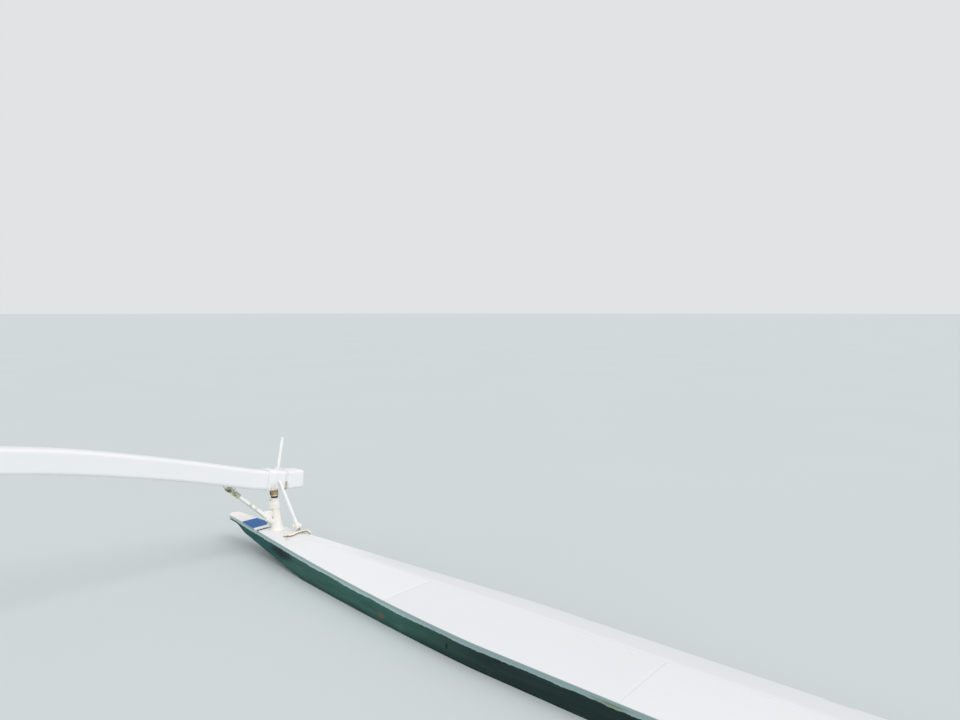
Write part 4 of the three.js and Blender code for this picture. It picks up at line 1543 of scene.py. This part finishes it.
class OUTRIGGER_OT_boom_bands(bpy.types.Operator):
    """Bands of rope round each boom, on either side of its post"""

    bl_idname = "outrigger.boom_bands"
    bl_label = "Boom bands"

    def execute(self, context):
        rope = sizes().band_rope / 2
        for end in ENDS:
            self.inner_band(end, rope)
            self.outer_band(end, rope)
        return {"FINISHED"}

    def inner_band(self, end, rope):
        mesh = bmesh.new()
        # The paint fills the gaps between its turns, so they are crowded into each other
        add_rope(mesh, band_course(end, *INNER_BAND, rope, end.side, 1.45), rope, groove=0.03)
        finish_rope(f"inner_band_rope_{end.name}", mesh, "inner_band_rope",
                    f"inner_boom_lashing_{end.name}")

    def outer_band(self, end, rope):
        mesh = bmesh.new()
        add_rope(mesh, band_course(end, *OUTER_BAND, rope, 3 + end.side), rope, groove=0.12)
        # Riding turns over the boom's top, beside the peg
        ride = [end.place(-RIDING_AWAY, y, boom_top(y) + 0.0004) for y in RIDING_SPAN]
        course = coil(*ride, (0.0014, 0.0008), rope, -RIDING_TURNS, seed=end.side, lumps=0.0008)
        add_rope(mesh, course, rope, groove=0.05)
        # Turns round the peg
        start, stop = back_peg_line(end)
        way = (stop - start).normalized()
        first, last = (start + way * along for along in PEG_SLEEVE)
        turns = (last - first).length / (2 * rope)
        core = (PEG_RADIUS + GAP, PEG_RADIUS + GAP)
        add_rope(mesh, coil(first, last, core, rope, turns, seed=end.side), rope, groove=0.12)
        finish_rope(f"outer_band_rope_{end.name}", mesh, "outer_band_rope",
                    f"outer_boom_lashing_{end.name}")


# Braces and pegs

def back_peg_line(end):
    return tuple(end.place(-PEG_FACE, *spot) for spot in BACK_PEG)


def front_peg_line(end):
    return (end.place(PEG_FACE + FRONT_PEG_SPREAD, *FRONT_PEG[0]), end.place(PEG_FACE, *FRONT_PEG[1]))


class OUTRIGGER_OT_braces(bpy.types.Operator):
    """Braces from the posts up to the booms, knotted at the foot and wrapped at the head"""

    bl_idname = "outrigger.braces"
    bl_label = "Braces"

    def execute(self, context):
        rope = sizes().lashing_rope / 2
        for end in ENDS:
            foot, head = end.place(0, *BRACE_FOOT), end.place(0, *BRACE_HEAD)
            way = (head - foot).normalized()
            whole = (head - foot).length
            # The pole starts inside the post's skin and stops under the boom
            start = foot + way * 0.003
            stop = foot + way * (whole - 0.012)
            mesh = tapered_pole(start, stop, BRACE_RADII, 0.0007, sides=20, steps=50, end_round=0.35)
            finish_piece(f"brace_{end.name}_pole", mesh, finish_named("stick_enamel"),
                         f"brace_{end.name}")
            self.foot_knot(end, foot, way, rope)
            self.head_wrap(end, foot, way, whole, rope)
        return {"FINISHED"}

    def foot_knot(self, end, foot, way, rope):
        mesh = bmesh.new()
        low, high = (foot + way * along for along in FOOT_KNOT)
        core = (BRACE_RADII[0] + GAP, BRACE_RADII[0] + GAP)
        add_rope(mesh, coil(low, high, core, rope, 3.3, first=1.0, seed=4), rope, 0.05)
        # A bight that stands off the turns, with a dark eye in it
        out = Vector((-end.side, -0.55, 0.1)).normalized()
        middle = end.place(BRACE_RADII[0] + rope * 1.6, *BIGHT)
        side, across = square_to(out, Vector((0, 0, 1)))
        points = []
        steps, overlap = 12, 2
        for k in range(steps + overlap + 1):
            angle = TAU * k / steps
            spread = BIGHT_RADIUS if k <= steps else 0.0070
            points.append(
                middle + side * math.cos(angle) * spread + across * math.sin(angle) * spread
                + out * (0.0012 * math.sin(angle * 1.5) + 0.0012)
            )
        course = [(p, (out * 0.8 + (p - middle).normalized()).normalized())
                  for p, _ in spread_course(points, middle)]
        add_rope(mesh, course, rope, 0.05)
        # Turns round both fill the corner between the brace's upper side and the post
        course = []
        steps = 220
        for i in range(steps + 1):
            turn = (CORNER_TURNS + CLOSING_TURNS) * i / steps
            angle = TAU * turn
            # The last turns wind inwards and close the top
            inward = clamp01((turn - CORNER_TURNS) / CLOSING_TURNS)
            bulge = 1 + 0.05 * noise.noise(Vector((angle * 0.6, 2.0, end.side)))
            towards = CORNER_HALF[0] * math.sin(angle) * bulge * (1 - inward)
            outboard = CORNER_MIDDLE + CORNER_HALF[1] * math.cos(angle) * (1 - 0.5 * inward)
            height = lerp(*CORNER_HEIGHTS, clamp01(turn / CORNER_TURNS)) - 0.0008 * inward
            point = end.place(towards, outboard, height)
            up = 0.3 + 1.2 * clamp01(turn - CORNER_TURNS + 1.2)
            out = Vector((-end.side * math.sin(angle), 0.3 * math.cos(angle), up)).normalized()
            course.append((point, out))
        add_rope(mesh, course, rope * 0.95, 0.05)
        finish_rope(f"brace_knot_rope_{end.name}", mesh, "painted_rope",
                    f"brace_foot_knot_{end.name}")

    def head_wrap(self, end, foot, way, whole, rope):
        mesh = bmesh.new()
        # The head is wrapped with thinner line than the foot
        rope *= 0.42
        low, high = foot + way * (whole - BRACE_WRAP + rope), foot + way * (whole - WRAP_STOP)
        share = BRACE_WRAP / whole
        core = (lerp(*reversed(BRACE_RADII), share) + GAP, BRACE_RADII[1] + GAP)
        turns = (high - low).length / (2 * rope)
        add_rope(mesh, coil(low, high, core, rope, turns, seed=6, lumps=0.0007), rope, groove=0.14)
        # A second layer close under the boom
        start, stop = (foot + way * (whole - back) for back in SECOND_LAYER)
        over = (core[1] + 2 * rope * 0.9, core[1] + 2 * rope * 0.95)
        add_rope(mesh, coil(start, stop, over, rope, -(stop - start).length / (2 * rope), first=2.2,
                            seed=8, lumps=0.0010), rope, groove=0.14)
        # The end of the rope knotted in the corner between the brace and the boom
        first, last = (end.place(*spot) for spot in HEAD_KNOT)
        knot = coil(first, last, (0.0018, 0.0018), HEAD_KNOT_ROPE, 2.4, seed=9)
        add_rope(mesh, knot, HEAD_KNOT_ROPE, groove=0.06)
        finish_rope(f"brace_head_rope_{end.name}", mesh, "olive_rope",
                    f"brace_head_lashing_{end.name}")


# Pegs

class OUTRIGGER_OT_pegs(bpy.types.Operator):
    """The crossed pegs on the faces of each boom, with the knots at their feet"""

    bl_idname = "outrigger.pegs"
    bl_label = "Pegs"

    def execute(self, context):
        rope = sizes().lashing_rope / 2
        for end in ENDS:
            for which, (foot, head) in (("back", back_peg_line(end)), ("front", front_peg_line(end))):
                mesh = tapered_pole(foot, head, (PEG_RADIUS, PEG_RADIUS * 0.94), 0.0005,
                                    sides=18, steps=60, end_round=0.45)
                for vert in mesh.verts:
                    vert.co.z = max(vert.co.z, deck_under(vert.co) + GAP)
                finish_piece(f"{which}_peg_{end.name}_shaved", mesh, finish_named("stick_enamel"),
                             f"{which}_peg_{end.name}")
                self.knot(end, which, foot, head, rope)
        return {"FINISHED"}

    def knot(self, end, which, foot, head, rope):
        mesh = bmesh.new()
        way = (head - foot).normalized()
        core = (PEG_RADIUS + GAP, PEG_RADIUS + GAP)
        low, high = (foot + way * along for along in PEG_KNOT)
        # The back peg is tied with thinner line
        line = rope * (0.95 if which == "front" else 0.6)
        turns = (high - low).length / (2 * line)
        add_rope(mesh, coil(low, high, core, line, turns, first=0.4, seed=len(which)), line, 0.06)
        if which == "front":
            # Two lobes level with each other, one on each side of the peg as seen from midships
            facing = Vector((-end.side, -0.7, 0)).normalized()
            across = Vector((0, 0, 1)).cross(facing) * -end.side
            for lobe in (-1, 1):
                out = (across * lobe + facing * 0.4).normalized()
                middle = foot + way * PEG_KNOT_LOBES + out * (PEG_RADIUS + rope * 2.7)
                add_rope(mesh, overhand(middle, out, 0.0076, 0.0032, lobe), rope * 1.1, groove=0.05)
        finish_rope(f"{which}_peg_knot_rope_{end.name}", mesh, "painted_rope",
                    f"{which}_peg_knot_{end.name}")


class OUTRIGGER_OT_deck_ropes(bpy.types.Operator):
    """Rope up through each nose deck, across it and down its outboard side"""

    bl_idname = "outrigger.deck_ropes"
    bl_label = "Deck ropes"

    def execute(self, context):
        rope = sizes().deck_rope / 2
        for end in ENDS:
            points = [end.place(t, y, end.deck_at(t) + above) for t, y, above in DECK_ROPE_ROUTE]
            towards = DECK_ROPE_ROUTE[-1][0] + ROPE_OVER_EDGE
            edge = half_beam(BOOM_REACH + towards + rope) + rope + 2 * GAP
            points.append(end.place(towards, edge, end.deck_at(towards) - ROPE_OVER_EDGE))
            tail = end.place(towards, edge + 0.001, end.deck_at(towards) - ROPE_TAIL)
            points.append(tail)
            mesh = bmesh.new()
            # The rope's underside, facing the point below, gets the painted shadow
            above = end.place(0.16, 0.03, -0.4)
            course = [(p, (p - above).normalized()) for p, _ in spread_course(points, above, 0.0028)]
            add_rope(mesh, course, rope, groove=0.2, lay_length=3.4)
            # Twine whipped round the rope's end
            low, high = tail + Vector((0, 0, 0.003)), tail + Vector((0, 0, 0.015))
            add_rope(mesh, coil(low, high, (rope, rope), TWINE, 6.5, lumps=0.0001), TWINE, groove=0.02)
            finish_rope(f"deck_rope_{end.name}_laid", mesh, "pale_rope", f"deck_rope_{end.name}")
        return {"FINISHED"}


# Stage

class OUTRIGGER_OT_stage(bpy.types.Operator):
    """Floor at the waterline, light and camera"""

    bl_idname = "outrigger.stage"
    bl_label = "Stage"

    def execute(self, context):
        stage = context.scene.outrigger_stage
        self.floor(stage)
        self.light(context, stage)
        self.camera(context, stage)
        return {"FINISHED"}

    def floor(self, stage):
        mesh = bmesh.new()
        bmesh.ops.create_circle(mesh, cap_ends=True, radius=300, segments=96)
        data = bpy.data.meshes.new("floor")
        mesh.to_mesh(data)
        mesh.free()
        f = Finish("floor", 0.8)
        tone = f.noise((0.5, 0.5, 0.5), 2)
        f.done(f.mix(f.ease(tone, 0.3, 0.7), tuple(stage.floor), shade(stage.floor, 0.985)))
        data.materials.append(f.material)
        floor = bpy.data.objects.new("floor", data)
        bpy.context.collection.objects.link(floor)

    def light(self, context, stage):
        world = bpy.data.worlds.new("surround")
        world.use_nodes = True
        background = world.node_tree.nodes["Background"]
        background.inputs["Color"].default_value = (*stage.sky, 1)
        background.inputs["Strength"].default_value = stage.surround
        context.scene.world = world
        # The sun behind thin cloud, and the light that the water sends up from the camera's side
        self.sun(context, "key", stage.key, 36, (0.62, 0.10, 0.78))
        self.sun(context, "fill", stage.fill, 60, (0.80, -0.50, 0.33))

    def sun(self, context, name, energy, angle, towards):
        lamp = bpy.data.lights.new(name, "SUN")
        lamp.energy = energy
        lamp.angle = math.radians(angle)
        light = bpy.data.objects.new(name, lamp)
        light.rotation_euler = Vector(towards).to_track_quat("Z", "Y").to_euler()
        context.collection.objects.link(light)

    def camera(self, context, stage):
        data = bpy.data.cameras.new("camera")
        data.lens = stage.focal
        data.sensor_width = 36
        data.clip_end = 1000
        camera = bpy.data.objects.new("camera", data)
        camera.location = (*CAMERA_SPOT, stage.eye_height)
        forward = Vector((
            -math.cos(CAMERA_HEADING), math.sin(CAMERA_HEADING), -math.tan(CAMERA_PITCH),
        ))
        camera.rotation_euler = forward.to_track_quat("-Z", "Y").to_euler()
        context.collection.objects.link(camera)
        context.scene.camera = camera


class OUTRIGGER_PT_panel(bpy.types.Panel):
    """Lists the outrigger's steps and settings"""

    bl_label = "Outrigger"
    bl_idname = "OUTRIGGER_PT_panel"
    bl_space_type = "VIEW_3D"
    bl_region_type = "UI"
    bl_category = "Outrigger"

    def draw(self, context):
        for step in STEPS:
            self.layout.operator(step.bl_idname)
        for name in SETTINGS:
            box = self.layout.box()
            group = getattr(context.scene, name)
            for key in group.__annotations__:
                box.prop(group, key)


STEPS = (
    OUTRIGGER_OT_stage,
    OUTRIGGER_OT_hull,
    OUTRIGGER_OT_deck,
    OUTRIGGER_OT_booms,
    OUTRIGGER_OT_posts,
    OUTRIGGER_OT_post_ropes,
    OUTRIGGER_OT_boom_bands,
    OUTRIGGER_OT_braces,
    OUTRIGGER_OT_pegs,
    OUTRIGGER_OT_deck_ropes,
)
SETTINGS = {
    "outrigger_sizes": OutriggerSizes,
    "outrigger_colours": OutriggerColours,
    "outrigger_stage": OutriggerStage,
}


def register():
    for name, group in SETTINGS.items():
        bpy.utils.register_class(group)
        setattr(bpy.types.Scene, name, bpy.props.PointerProperty(type=group))
    for step in STEPS:
        bpy.utils.register_class(step)
    bpy.utils.register_class(OUTRIGGER_PT_panel)


def unregister():
    bpy.utils.unregister_class(OUTRIGGER_PT_panel)
    for step in reversed(STEPS):
        bpy.utils.unregister_class(step)
    for name, group in SETTINGS.items():
        delattr(bpy.types.Scene, name)
        bpy.utils.unregister_class(group)


def main():
    register()
    bpy.context.scene.view_settings.view_transform = "Standard"
    for step in STEPS:
        module, operator = step.bl_idname.split(".")
        getattr(getattr(bpy.ops, module), operator)()


if __name__ == "__main__":
    main()
